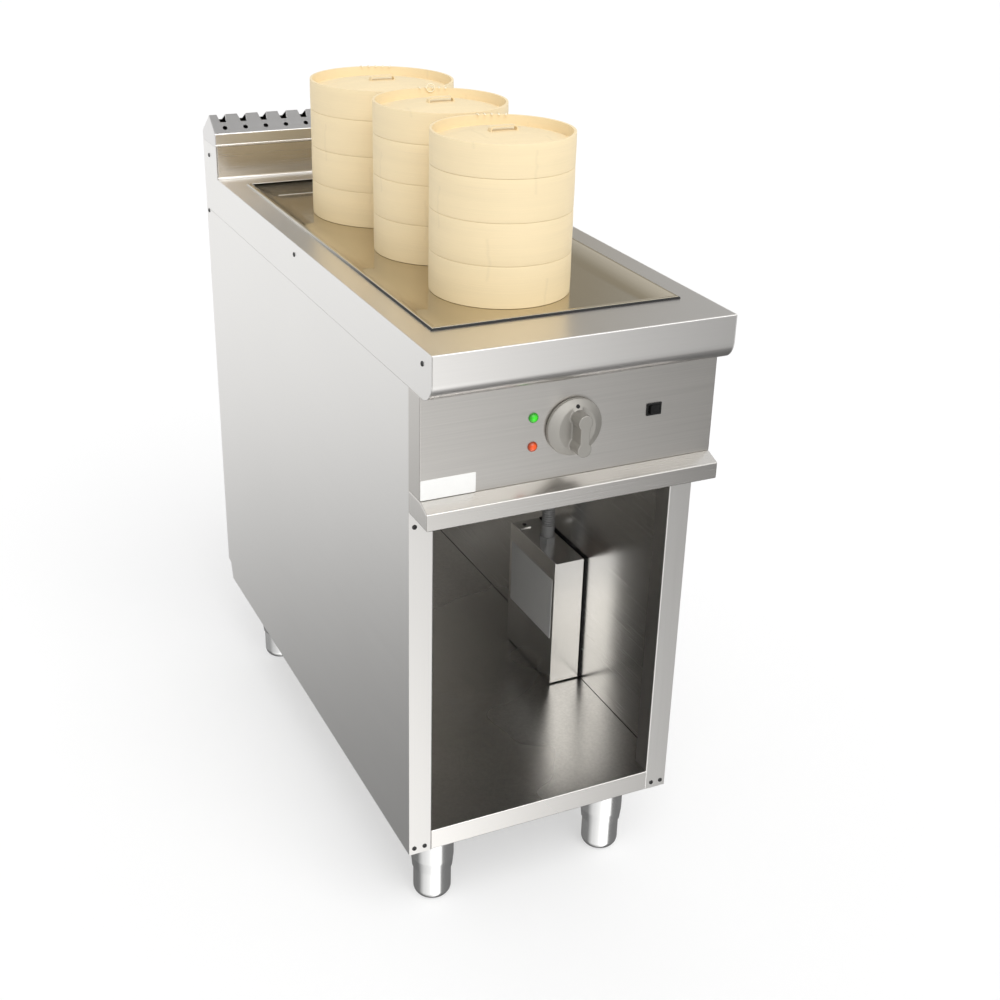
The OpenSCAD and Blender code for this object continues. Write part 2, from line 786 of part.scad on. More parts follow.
// Drain pipe with its ball valve body, boss and stem
module drain_valve() {
    color("peru") difference() {
        union() {
            translate([drain_x, drain_y, drain_z]) cylinder(d = drain_d, h = drain_len + sheet);
            translate([drain_x, drain_y, tank_z - drain_flange_h])
                cylinder(d = drain_d + 2 * drain_flange_w, h = drain_flange_h);
            translate([drain_x, drain_y, valve_z]) cylinder(d = valve_d, h = valve_h);
            translate([drain_x, drain_y, stem_z]) rotate([90, 0, 0])
                cylinder(d = stem_d + 2 * boss_wall, h = boss_out);
            translate([drain_x, drain_y, stem_z]) rotate([90, 0, 0])
                cylinder(d = stem_d, h = boss_out + hub_h + 2 * lever_gap + stem_tip);
        }
        translate([drain_x, drain_y, drain_z - cut])
            cylinder(d = drain_bore, h = drain_len + sheet + 2 * cut);
    }
}

// Lever that turns a quarter turn on the valve stem
module drain_lever() {
    color("firebrick") translate([drain_x, lever_y - lever_gap, stem_z]) rotate([90, 0, 0]) difference() {
        union() {
            cylinder(d = hub_d, h = hub_h);
            translate([0, -lever_w / 2, 0]) cube([lever_len - lever_w / 2, lever_w, hub_h / 2]);
            translate([lever_len - lever_w / 2, 0, 0]) cylinder(d = lever_w, h = hub_h / 2);
        }
        translate([0, 0, -cut]) cylinder(d = stem_d + 2 * stem_fit, h = hub_h + 2 * cut);
    }
}

// Flue duct behind the worktop, with the collar that locates its cap
module flue_duct() {
    shoulder = sheet + collar_fit;
    color(bright_steel) {
        difference() {
            slab([-inner, flue_y, trim_z], [inner, back, cheek_z]);
            slab([-inner + sheet, flue_y + sheet, trim_z - cut],
                 [inner - sheet, back - sheet, cheek_z - sheet]);
            slab([-inner + collar_fit + sheet, flue_y + shoulder + sheet, trim_z - cut],
                 [inner - collar_fit - sheet, back - shoulder - sheet, cheek_z + cut]);
        }
        difference() {
            slab([-inner + collar_fit, flue_y + shoulder, cheek_z - sheet],
                 [inner - collar_fit, back - shoulder, cheek_z + collar_h]);
            slab([-inner + collar_fit + sheet, flue_y + shoulder + sheet, cheek_z - sheet - cut],
                 [inner - collar_fit - sheet, back - shoulder - sheet, cheek_z + collar_h + cut]);
        }
    }
}

// Lift-off flue cap: a folded ridge with a notched crest and a hole under each notch
module flue_cap() {
    z0 = cheek_z + cap_gap;
    ridge = [flue_y + ridge_back, z0 + ridge_h];
    eave = [flue_y, z0 + skirt_h];
    profile = [[flue_y, z0], eave, ridge, [back, z0 + rear_skirt_h], [back, z0]];
    slope = atan2(ridge[1] - eave[1], ridge[0] - eave[0]);
    pitch = (unit_w - 2 * notch_end) / (notches - 1);
    vent = eave + 0.3 * (ridge - eave);
    color(steel) difference() {
        union() {
            along_x(-inner - cut / 2, inner + cut / 2) folded(profile, sheet);
            for (s = [-1, 1]) side_sheet(s) polygon(profile);
        }
        for (i = [0 : notches - 1]) translate([-side + notch_end + i * pitch, 0, 0]) {
            along_y(flue_y, back) polygon([
                [-notch_foot / 2, ridge[1] - notch_h], [notch_foot / 2, ridge[1] - notch_h],
                [notch_w / 2, ridge[1] + cut], [-notch_w / 2, ridge[1] + cut]
            ]);
            translate([0, vent[0], vent[1]]) rotate([slope, 0, 0])
                translate([0, 0, -3 * sheet]) cylinder(d = vent_d, h = 4 * sheet);
        }
    }
}

// Thermostat behind the panel, with its threaded bush and nut
module thermostat() {
    shaft_hole = stat_deep / 2 + shaft_fit;
    color("dimgray") on_panel(knob_x, knob_z) difference() {
        union() {
            translate([-stat_w / 2, -stat_w / 2, -sheet - stat_deep]) cube([stat_w, stat_w, stat_deep]);
            translate([0, 0, -sheet - cut]) cylinder(d = bush_d, h = sheet + cut + bush_out);
            cylinder(d = bush_nut_w, h = bush_nut, $fn = 6);
        }
        translate([0, 0, -sheet - shaft_hole])
            cylinder(d = shaft_d + 2 * shaft_fit, h = sheet + shaft_hole + bush_out + cut);
    }
}

// Shaft that joins the knob to the thermostat
module thermostat_shaft() {
    tail = stat_deep / 2 - shaft_end_gap;
    color(bright_steel) on_panel(knob_x, knob_z) translate([0, 0, -sheet - tail])
        cylinder(d = shaft_d, h = sheet + tail + knob_gap + knob_h - knob_roof - shaft_end_gap);
}

// Knob: a domed skirt with a waisted grip between two finger pockets
module knob() {
    dome_r = (pow(knob_d / 2, 2) + pow(knob_dome - knob_edge, 2)) / (2 * (knob_dome - knob_edge));
    end_y = grip_len / 2 - grip_end / 2;
    low_y = -end_y - grip_tail;
    recess = bush_out + recess_gap;
    color("darkgray") on_panel(knob_x, knob_z) translate([0, 0, knob_gap]) difference() {
        union() {
            difference() {
                intersection() {
                    cylinder(d = knob_d, h = knob_dome);
                    translate([0, 0, knob_dome - dome_r]) sphere(dome_r);
                }
                for (s = [-1, 1])
                    translate([s * grip_waist / 2, 0, pocket_floor]) rotate([0, -s * pocket_slope, 0])
                        translate([s > 0 ? 0 : -knob_d, -knob_d, 0]) cube([knob_d, 2 * knob_d, knob_h]);
            }
            for (v = [end_y, low_y]) translate([0, v, 0]) cylinder(d = grip_end, h = knob_h);
            translate([-grip_waist / 2, low_y, 0]) cube([grip_waist, end_y - low_y, knob_h]);
        }
        translate([0, 0, -cut]) cylinder(d = bush_nut_w + 2 * recess_gap, h = recess - knob_gap + cut);
        translate([0, 0, -cut]) cylinder(d = shaft_d + 2 * shaft_fit, h = knob_h - knob_roof + cut);
    }
}

// Pilot lamp: a domed lens on a round body that passes through the panel
module lamp(v, lens) {
    lens_h = lamp_h - lamp_flange;
    lens_r = (pow(lamp_d / 2 - lens_in, 2) + pow(lens_h, 2)) / (2 * lens_h);
    color(lens) on_panel(lamp_x, lamp_z + v * lamp_gap / 2) {
        translate([0, 0, -sheet - lamp_deep])
            cylinder(d = lamp_body_d, h = sheet + lamp_deep + lamp_flange / 2);
        cylinder(d = lamp_d, h = lamp_flange);
        intersection() {
            translate([0, 0, lamp_flange / 2]) cylinder(d = lamp_d - 2 * lens_in, h = lamp_h);
            translate([0, 0, lamp_h - lens_r]) sphere(lens_r);
        }
    }
}

// Switch housing: a bezel on the panel and an open body behind it
module switch_housing() {
    color("black") on_panel(switch_x, switch_z) difference() {
        union() {
            translate([-switch_w / 2, -switch_h / 2, 0]) cube([switch_w, switch_h, switch_out]);
            translate([-switch_body_w / 2, -switch_body_h / 2, -sheet - switch_deep])
                cube([switch_body_w, switch_body_h, sheet + switch_deep + cut / 2]);
        }
        translate([-pocket_w / 2, -pocket_h / 2, -sheet - switch_deep + switch_floor])
            cube([pocket_w, pocket_h, sheet + switch_deep + switch_out]);
        translate([0, 0, -pivot_deep]) rotate([90, 0, 0])
            cylinder(d = rocker_pin_d + 2 * shaft_fit, h = pocket_h + 2 * pin_in, center = true, $fn = 32);
    }
}

// Rocker, tilted to its first position at rest
module switch_rocker() {
    wide = rocker_half;
    valley = rocker_top - rocker_half * tan(rocker_tilt);
    tall = pocket_h - 2 * rocker_side_gap;
    color("black") on_panel(switch_x, switch_z) translate([0, 0, -pivot_deep]) rotate([0, rocker_tilt, 0]) {
        rotate([90, 0, 0]) linear_extrude(tall, center = true)
            polygon([
                [-wide, -rocker_deep], [wide, -rocker_deep],
                [wide, rocker_top], [0, valley], [-wide, rocker_top]
            ]);
        rotate([90, 0, 0])
            cylinder(d = rocker_pin_d, h = pocket_h + 2 * (pin_in - pin_gap), center = true, $fn = 32);
    }
}

// Junction box: a shell open to the left, held off the side panel by spacers
module junction_box() {
    color(steel) {
        difference() {
            slab([jbox_x0 + sheet, jbox_y0, jbox_z0], [jbox_x1, jbox_y1, jbox_z1]);
            slab([jbox_x0 - cut, jbox_y0 + sheet, jbox_z0 + sheet],
                 [jbox_x1 - sheet, jbox_y1 - sheet, jbox_z1 - sheet]);
            translate([conduit_x, conduit_y, jbox_z1 - sheet - cut])
                cylinder(d = spigot_d + 2 * panel_fit, h = sheet + 2 * cut);
        }
        for (y = [jbox_y0 + jbox_d / 4, jbox_y1 - jbox_d / 4],
             z = [jbox_z0 + jbox_h / 5, jbox_z1 - jbox_h / 5])
            translate([jbox_x1 - sheet / 2, y, z]) rotate([0, 90, 0])
                cylinder(d = jbox_spacer_d, h = jbox_gap + sheet / 2);
    }
}

// Cover of the junction box, with the tab that lies on the box's top
module junction_cover() {
    color(steel) difference() {
        union() {
            slab([jbox_x0, jbox_y0, jbox_z0], [jbox_x0 + sheet, jbox_y1, jbox_z1 + sheet]);
            slab([jbox_x0, tab_y - tab_w / 2, jbox_z1],
                 [jbox_x0 + tab_len, tab_y + tab_w / 2, jbox_z1 + sheet]);
        }
        translate([tab_screw_x, tab_y, jbox_z1 - cut])
            cylinder(d = shank_d + 2 * shank_fit, h = sheet + 2 * cut);
    }
}

// Terminal block on the box's right wall
module terminal_block() {
    block_y = (jbox_y0 + jbox_y1) / 2;
    block_z = jbox_z0 + jbox_h * 0.4;
    block_len = jbox_d * 0.6;
    ways = 5;
    color("ivory") difference() {
        slab([jbox_x1 - sheet - block_h / 2, block_y - block_len / 2, block_z],
             [jbox_x1 - sheet, block_y + block_len / 2, block_z + block_h]);
        for (i = [0 : ways - 1]) translate([jbox_x1 - sheet - block_h / 2 - cut,
            block_y + (i - (ways - 1) / 2) * block_len / ways, block_z + block_h / 2])
            rotate([0, 90, 0]) cylinder(d = block_h / 4, h = block_h / 4 + cut, $fn = 32);
    }
}

// Ribbed conduit from the junction box to the ceiling, with a threaded fitting at each end
module conduit() {
    z0 = jbox_z1;
    z1 = lip_z;
    plain = nut_h + conduit_d;
    ribs = floor((z1 - z0 - 2 * plain) / rib_pitch);
    start = (z0 + z1 - ribs * rib_pitch) / 2;
    crest = conduit_d / 2;
    valley = crest - rib_deep;
    wall = conduit_bore / 2;
    thread = spigot_d / 2;
    low = z0 - sheet - spigot_tail;
    high = z1 + sheet + spigot_tail;
    steps = [for (i = [0 : ribs - 1]) each [
        [valley, start + i * rib_pitch], [crest, start + (i + 0.2) * rib_pitch],
        [crest, start + (i + 0.6) * rib_pitch], [valley, start + (i + 0.8) * rib_pitch]]];
    color("lightsteelblue") translate([conduit_x, conduit_y, 0]) {
        rotate_extrude() polygon(concat(
            [[wall, low], [thread, low], [thread, z0 + nut_h / 2],
             [crest, z0 + nut_h / 2], [crest, start - 0.2 * rib_pitch]],
            steps,
            [[crest, start + ribs * rib_pitch], [crest, z1 - nut_h / 2],
             [thread, z1 - nut_h / 2], [thread, high], [wall, high]]));
        for (z = [z0, z1 - nut_h]) translate([0, 0, z]) difference() {
            cylinder(d = nut_d, h = nut_h, $fn = 6);
            translate([0, 0, -cut]) cylinder(r = thread + nut_fit, h = nut_h + 2 * cut);
        }
    }
}

// Places a child at the four legs
module at_legs() {
    for (x = [-leg_x, leg_x], y = leg_ys) translate([x, y, 0]) children();
}

// Fixed leg sleeves with their plates under the cabinet floor
module leg_sleeves() {
    bore = foot_d + 2 * foot_fit;
    color(bright_steel) at_legs() difference() {
        union() {
            translate([0, 0, sleeve_z])
                cylinder(d1 = bore + 2 * sleeve_lip, d2 = sleeve_d, h = sleeve_taper);
            translate([0, 0, sleeve_z + sleeve_taper])
                cylinder(d = sleeve_d, h = under_floor - sleeve_z - sleeve_taper);
            translate([-leg_plate_w / 2, -leg_plate_w / 2, sleeve_top])
                cube([leg_plate_w, leg_plate_w, leg_plate]);
        }
        translate([0, 0, sleeve_z - cut]) cylinder(d = bore, h = sleeve_top - sleeve_z + cut);
    }
}

// Adjustable foot with a rounded lower edge
module foot(x, y) {
    flat = foot_d / 2 - foot_round;
    color(bright_steel) translate([x, y, 0]) rotate_extrude() {
        square([flat, foot_len]);
        translate([0, foot_round]) square([foot_d / 2, foot_len - foot_round]);
        intersection() {
            translate([flat, foot_round]) circle(foot_round);
            square([foot_d, foot_d]);
        }
    }
}

// One screw with its head out along Z and its shank through a sheet
module screw() {
    cylinder(d = screw_d, h = screw_h);
    translate([0, 0, -sheet]) cylinder(d = shank_d, h = sheet + screw_h / 2);
}

// All visible screws
module screws() {
    color("dimgray") {
        for (s = [-1, 1], p = concat(band_screws, [side_screw]))
            translate([s * side, front + p[0], trim_z + p[1]]) rotate([0, s * 90, 0]) screw();
        for (s = [-1, 1], p = post_foot_screws) translate([s * (side - p[0]), post_y, p[1]])
            rotate([90, 0, 0]) screw();
        translate([-side + post_head_screw[0], post_y, post_head_screw[1]]) rotate([90, 0, 0]) screw();
        translate([tab_screw_x, tab_y, jbox_z1 + sheet]) screw();
    }
}

// Lower edge of a tier, counted from the bottom, or of the lid at n = 3
function tier_z(s, n) = base_z + n * s[3];

// Hoop of a tier: outer wall, inner ring that laps into the tier above, and the slats' shelf
module tier_hoop(s, n) {
    r = s[2];
    wall_r = r - hoop_wall;
    ring_r = wall_r - ring_wall;
    shelf_r = ring_r - shelf_w;
    top = s[3] - seam;
    shelf_top = ring_up + shelf_h;
    color(bamboo) translate([s[0], s[1], tier_z(s, n)]) rotate_extrude() polygon([
        [r, 0], [r, top], [wall_r - lap_fit, top], [wall_r - lap_fit, top + ring_lap],
        [ring_r, top + ring_lap], [ring_r, shelf_top], [shelf_r, shelf_top], [shelf_r, ring_up],
        [wall_r, ring_up], [wall_r, 0]
    ]);
}

// Slatted floor of a tier: slats across three battens, cut round
module tier_slats(s, n) {
    slat_r = s[2] - hoop_wall - ring_wall - seam;
    batten_r = slat_r - shelf_w - batten_fit;
    pitch = slat_w + slat_gap;
    count = floor((batten_r - batten_fit + slat_w / 2) / pitch);
    color(bamboo) translate([s[0], s[1], tier_z(s, n) + ring_up + shelf_h]) {
        linear_extrude(slat_h) intersection() {
            circle(slat_r);
            for (i = [-count : count]) translate([-slat_r, i * pitch - slat_w / 2])
                square([2 * slat_r, slat_w]);
        }
        for (x = [-slat_r / 2, 0, slat_r / 2]) translate([0, 0, -slat_h])
            linear_extrude(slat_h * 1.5) intersection() {
                circle(batten_r);
                translate([x - batten_w / 2, -slat_r]) square([batten_w, 2 * slat_r]);
            }
    }
}

// Hoop of a lid, with the ring that carries its dome
module lid_hoop(s) {
    r = s[2];
    wall_r = r - hoop_wall;
    color(bamboo) translate([s[0], s[1], tier_z(s, 3)]) rotate_extrude() polygon([
        [r, 0], [r, lid_h], [wall_r, lid_h], [wall_r, dome_up], [wall_r - ring_wall, dome_up],
        [wall_r - ring_wall, dome_up - lid_ring_h], [wall_r, dome_up - lid_ring_h], [wall_r, 0]
    ]);
}

// Domed lid panel with its strap handle
module lid_dome(s) {
    edge_r = s[2] - hoop_wall - seam;
    dome_r = (pow(edge_r, 2) + pow(dome_rise, 2)) / (2 * dome_rise);
    strap_z = dome_rise + strap_gap;
    color(bamboo) translate([s[0], s[1], tier_z(s, 3) + dome_up]) {
        intersection() {
            difference() {
                translate([0, 0, dome_rise - dome_r]) sphere(dome_r, $fn = 128);
                translate([0, 0, dome_rise - dome_r]) sphere(dome_r - dome_wall, $fn = 128);
            }
            cylinder(r = edge_r, h = dome_rise + cut);
        }
        translate([-strap_len / 2, -strap_w / 2, strap_z]) cube([strap_len, strap_w, strap_h]);
        for (x = [-strap_len / 2, strap_len / 2 - strap_foot])
            translate([x, -strap_w / 2, dome_rise - dome_wall])
                cube([strap_foot, strap_w, strap_gap + dome_wall + strap_h]);
    }
}

side_panel(-1);  // side_panel_left
side_panel(1);  // side_panel_right
back_panel();
cabinet_floor();
service_deck();
front_post(-1);  // front_post_left
front_post(1);  // front_post_right
control_panel();
drip_ledge();
worktop();
end_trim(-1);  // end_trim_left
end_trim(1);  // end_trim_right
steaming_well();
water_tank();
heating_element();
drain_valve();
drain_lever();
flue_duct();
flue_cap();
thermostat();
thermostat_shaft();
knob();
lamp(1, "limegreen");  // lamp_green
lamp(-1, "orangered");  // lamp_orange
switch_housing();
switch_rocker();
junction_box();
junction_cover();
terminal_block();
conduit();
leg_sleeves();
foot(-leg_x, leg_ys[0]);  // foot_front_left
foot(leg_x, leg_ys[0]);  // foot_front_right
foot(-leg_x, leg_ys[1]);  // foot_rear_left
foot(leg_x, leg_ys[1]);  // foot_rear_right
screws();
tier_hoop(front_stack, 0);  // front_hoop_low
tier_hoop(front_stack, 1);  // front_hoop_mid
tier_hoop(front_stack, 2);  // front_hoop_top
tier_slats(front_stack, 0);  // front_slats_low
tier_slats(front_stack, 1);  // front_slats_mid
tier_slats(front_stack, 2);  // front_slats_top
lid_hoop(front_stack);  // front_lid_hoop
lid_dome(front_stack);  // front_lid_dome
tier_hoop(middle_stack, 0);  // middle_hoop_low
tier_hoop(middle_stack, 1);  // middle_hoop_mid
tier_hoop(middle_stack, 2);  // middle_hoop_top
tier_slats(middle_stack, 0);  // middle_slats_low
tier_slats(middle_stack, 1);  // middle_slats_mid
tier_slats(middle_stack, 2);  // middle_slats_top
lid_hoop(middle_stack);  // middle_lid_hoop
lid_dome(middle_stack);  // middle_lid_dome
tier_hoop(back_stack, 0);  // back_hoop_low
tier_hoop(back_stack, 1);  // back_hoop_mid
tier_hoop(back_stack, 2);  // back_hoop_top
tier_slats(back_stack, 0);  // back_slats_low
tier_slats(back_stack, 1);  // back_slats_mid
tier_slats(back_stack, 2);  // back_slats_top
lid_hoop(back_stack);  // back_lid_hoop
lid_dome(back_stack);  // back_lid_dome
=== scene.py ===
"""Looks of a free-standing dumpling steamer: satin and polished steel, bamboo baskets, a white studio."""
import json
import math

import bmesh
import bpy
from mathutils import Matrix, Vector


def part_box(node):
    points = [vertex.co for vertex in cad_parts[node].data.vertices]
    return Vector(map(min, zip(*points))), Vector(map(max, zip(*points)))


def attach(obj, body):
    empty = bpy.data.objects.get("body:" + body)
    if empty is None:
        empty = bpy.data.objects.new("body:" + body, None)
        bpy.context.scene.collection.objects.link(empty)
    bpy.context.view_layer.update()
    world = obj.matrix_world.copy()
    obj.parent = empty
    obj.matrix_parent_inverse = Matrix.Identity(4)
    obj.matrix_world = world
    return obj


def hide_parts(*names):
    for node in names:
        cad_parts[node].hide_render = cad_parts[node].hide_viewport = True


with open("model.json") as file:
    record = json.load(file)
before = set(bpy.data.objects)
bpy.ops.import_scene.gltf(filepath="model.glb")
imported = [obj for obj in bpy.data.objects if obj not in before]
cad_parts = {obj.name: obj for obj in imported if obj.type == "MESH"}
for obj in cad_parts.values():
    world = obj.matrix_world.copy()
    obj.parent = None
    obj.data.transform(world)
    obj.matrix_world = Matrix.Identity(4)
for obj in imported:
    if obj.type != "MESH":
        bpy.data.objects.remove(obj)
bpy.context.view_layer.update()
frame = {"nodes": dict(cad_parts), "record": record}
nodes = frame["nodes"]

MM = 0.001

# Photograph's camera: place in metres, turns in degrees, lens in millimetres on a 36 mm sensor
CAMERA_PLACE = Vector((-0.795205, -1.858899, 1.427755))
CAMERA_AZIMUTH = -26.135
CAMERA_ELEVATION = 25.741
CAMERA_ROLL = 1.637
CAMERA_LENS = 52.802

# Studio light, where a strength of 1 shows a colour as it is written
SKY_STRENGTH = 0.72
KEY_STRENGTH = 1.6
KEY_SPREAD = 50
KEY_FROM = Vector((-0.05, -0.9, 1.15))
FLOOR_TONE = (0.93, 0.93, 0.93)
FLOOR_WHITE = 0.40
FLOOR_HALF = 40.0

# Bamboo hoops, in metres, as the solids have them
HOOP_WALL = 4 * MM
RING_WALL = 3.5 * MM
RING_LAP = 4 * MM
RING_UP = 6 * MM
LAP_FIT = 0.5 * MM
SHELF_WIDTH = 6 * MM
SHELF_HEIGHT = 4 * MM
SEAM = 0.3 * MM
HOOP_ROUND = 0.5 * MM
HOOP_CROWN = 0.35 * MM
STRIP_STEP = 0.5 * MM
HOOP_STEPS = 160
LID_RING_HEIGHT = 5 * MM
SLAT_WIDTH = 11 * MM
SLAT_GAP = 3.5 * MM
SLAT_HEIGHT = 2.4 * MM
BATTEN_WIDTH = 10 * MM
STRAP_LENGTH = 37 * MM
STRAP_WIDTH = 8 * MM
STRAP_HEIGHT = 1.6 * MM
DOME_WALL = 2.5 * MM
DOME_UP = 27 * MM
DOME_RISE = 12 * MM
STACKS = ("front", "middle", "back")
LEVELS = ("low", "mid", "top")


class Graph:
    """Adds nodes to one tree and joins them."""

    def __init__(self, tree):
        self.tree = tree

    def node(self, kind, inputs=None, **settings):
        made = self.tree.nodes.new(kind)
        for key, value in settings.items():
            setattr(made, key, value)
        for key, value in (inputs or {}).items():
            if isinstance(value, bpy.types.NodeSocket):
                self.tree.links.new(value, made.inputs[key])
            else:
                made.inputs[key].default_value = value
        return made

    def link(self, a, b):
        self.tree.links.new(a, b)

    def math(self, operation, a, b=0.0, c=0.0):
        return self.node("ShaderNodeMath", {0: a, 1: b, 2: c}, operation=operation).outputs[0]

    def scaled(self, vector, factor):
        return self.node("ShaderNodeVectorMath", {0: vector, "Scale": factor}, operation="SCALE").outputs[0]

    def around_one(self, value, amount):
        """1 plus amount times how far value lies from one half."""
        return self.math("MULTIPLY_ADD", value, amount, 1 - amount / 2)

    def noise(self, vector, scale, detail=2.0, rough=0.5):
        inputs = {"Vector": vector, "Scale": scale, "Detail": detail, "Roughness": rough}
        return self.node("ShaderNodeTexNoise", inputs).outputs["Fac"]

    def object_place(self):
        return self.node("ShaderNodeTexCoord").outputs["Object"]

    def group(self, tree, inputs):
        made = self.node("ShaderNodeGroup")
        made.node_tree = tree
        for key, value in inputs.items():
            if isinstance(value, bpy.types.NodeSocket):
                self.link(value, made.inputs[key])
            else:
                made.inputs[key].default_value = value
        return made.outputs


def shader_group(name, inputs, outputs):
    """Empty shader group with named sockets, and its graph, input sockets and output node."""
    tree = bpy.data.node_groups.new(name, "ShaderNodeTree")
    for label, kind, value in inputs:
        socket = tree.interface.new_socket(label, in_out="INPUT", socket_type=kind)
        socket.default_value = value
    for label, kind in outputs:
        tree.interface.new_socket(label, in_out="OUTPUT", socket_type=kind)
    graph = Graph(tree)
    return tree, graph, graph.node("NodeGroupInput").outputs, graph.node("NodeGroupOutput").inputs


def make_steel_grain():
    """Rolling grain stretched along a sheet, soft clouds of handling and fine mottling."""
    tree, g, given, out = shader_group(
        "Steel Grain",
        [("Stretch", "NodeSocketVector", (6.0, 6.0, 900.0)), ("Cloud Size", "NodeSocketFloat", 3.0)],
        [("Streak", "NodeSocketFloat"), ("Cloud", "NodeSocketFloat"), ("Mottle", "NodeSocketFloat")],
    )
    place = g.object_place()
    stretched = g.node("ShaderNodeMapping", {"Vector": place, "Scale": given["Stretch"]}).outputs[0]
    g.link(g.noise(stretched, 1.0, 4.0, 0.65), out["Streak"])
    g.link(g.noise(place, given["Cloud Size"], 2.0, 0.5), out["Cloud"])
    g.link(g.noise(place, 240.0, 3.0, 0.6), out["Mottle"])
    return tree


def make_hoop_place():
    """Turns a place on a hoop into metres along its strip, across it, and through it."""
    tree, g, given, out = shader_group(
        "Hoop Place",
        [("Centre", "NodeSocketVector", (0.0, 0.0, 0.0)), ("Radius", "NodeSocketFloat", 0.09)],
        [("Strip", "NodeSocketVector")],
    )
    inputs = {0: g.object_place(), 1: given["Centre"]}
    local = g.node("ShaderNodeVectorMath", inputs, operation="SUBTRACT").outputs[0]
    x, y, z = g.node("ShaderNodeSeparateXYZ", {0: local}).outputs
    turn = g.math("ARCTAN2", x, g.math("MULTIPLY", y, -1.0))
    reach = g.node("ShaderNodeVectorMath", {0: g.node("ShaderNodeCombineXYZ", {0: x, 1: y}).outputs[0]},
                   operation="LENGTH").outputs["Value"]
    along = g.math("MULTIPLY", turn, given["Radius"])
    g.link(g.node("ShaderNodeCombineXYZ", {0: along, 1: z, 2: reach}).outputs[0], out["Strip"])
    return tree


def make_bamboo_fibre():
    """Long pale and tan fibres along a bamboo strip, slow tone changes and the strip's joints."""
    tree, g, given, out = shader_group(
        "Bamboo Fibre",
        [("Strip", "NodeSocketVector", (0.0, 0.0, 0.0)), ("Joint Spacing", "NodeSocketFloat", 0.21)],
        [("Fibre", "NodeSocketFloat"), ("Tone", "NodeSocketFloat"), ("Joint", "NodeSocketFloat")],
    )
    strip = given["Strip"]
    fibres = g.node("ShaderNodeMapping", {"Vector": strip, "Scale": (9.0, 1100.0, 600.0)}).outputs[0]
    g.link(g.noise(fibres, 1.0, 3.0, 0.6), out["Fibre"])
    broad = g.node("ShaderNodeMapping", {"Vector": strip, "Scale": (5.0, 55.0, 20.0)}).outputs[0]
    tone = g.noise(broad, 1.0, 2.0, 0.5)
    g.link(tone, out["Tone"])
    along, across, _ = g.node("ShaderNodeSeparateXYZ", {0: strip}).outputs
    tier = g.math("FLOOR", g.math("MULTIPLY", across, 19.0))
    shifted = g.math("MULTIPLY_ADD", tier, 0.077, along)
    wobble = g.math("MULTIPLY_ADD", tone, 0.012, shifted)
    turn = g.math("PINGPONG", wobble, g.math("MULTIPLY", given["Joint Spacing"], 0.5))
    joint = g.node("ShaderNodeMapRange", {"Value": turn, "From Min": 0.0, "From Max": 0.003, "To Min": 1.0, "To Max": 0.0})
    g.link(joint.outputs[0], out["Joint"])
    return tree


steel_grain = make_steel_grain()
hoop_place = make_hoop_place()
bamboo_fibre = make_bamboo_fibre()


def material(name):
    """New material, its graph and its shader."""
    made = bpy.data.materials.new(name)
    made.use_nodes = True
    shader = made.node_tree.nodes["Principled BSDF"]
    return made, Graph(made.node_tree), shader


def steel(name, colour, roughness, stretch, streak=0.10, cloud=0.06, mottle=0.0, height=0.0):
    """Steel sheet with its rolling grain along the axis that the stretch leaves longest."""
    made, g, shader = material(name)
    grain = g.group(steel_grain, {"Stretch": stretch})
    tone = g.math("MULTIPLY", g.around_one(grain["Streak"], streak), g.around_one(grain["Cloud"], cloud))
    if mottle:
        tone = g.math("MULTIPLY", tone, g.around_one(grain["Mottle"], mottle))
    g.link(g.scaled(colour, tone), shader.inputs["Base Color"])
    spread = g.math("MULTIPLY_ADD", grain["Streak"], 0.10, roughness - 0.05)
    g.link(spread, shader.inputs["Roughness"])
    shader.inputs["Metallic"].default_value = 1.0
    if height:
        bump = g.node("ShaderNodeBump", {"Height": grain["Streak"], "Strength": height, "Distance": 0.0004})
        g.link(bump.outputs[0], shader.inputs["Normal"])
    return made


def fronted_steel(name, colour, front, face, roughness, mottle=0.0, sides=(1.0, 1.0)):
    """Satin or dull sheet with mottled wear and painted light, brighter to one side and darker to the other, with a
    polished fold ahead of the given y.
    """
    made, g, shader = material(name)
    grain = g.group(steel_grain, {"Stretch": (LONG, FINE, FINE)})
    across, depth, _ = g.node("ShaderNodeSeparateXYZ", {0: g.object_place()}).outputs
    limits = {"Value": depth, "From Min": face - MM / 2, "From Max": face + MM / 2}
    inside = g.node("ShaderNodeMapRange", limits).outputs[0]
    wear_and_painted_light = g.math("MULTIPLY", g.around_one(grain["Mottle"], mottle), g.around_one(grain["Cloud"], 0.08))
    # Painted light: the sides factors brighten the sheet towards -x and darken it towards +x
    limits = {"Value": across, "From Min": -0.15, "From Max": 0.15, "To Min": sides[0], "To Max": sides[1]}
    wear_and_painted_light = g.math("MULTIPLY", wear_and_painted_light, g.node("ShaderNodeMapRange", limits).outputs[0])
    sheet = g.scaled(colour, wear_and_painted_light)
    fold = g.scaled(front, g.around_one(grain["Streak"], 0.06))
    mixed = g.node("ShaderNodeMix", {0: inside, 6: fold, 7: sheet}, data_type="RGBA").outputs[2]
    g.link(mixed, shader.inputs["Base Color"])
    g.link(g.math("MULTIPLY_ADD", grain["Cloud"], 0.08, roughness - 0.04), shader.inputs["Roughness"])
    shader.inputs["Metallic"].default_value = 1.0
    return made


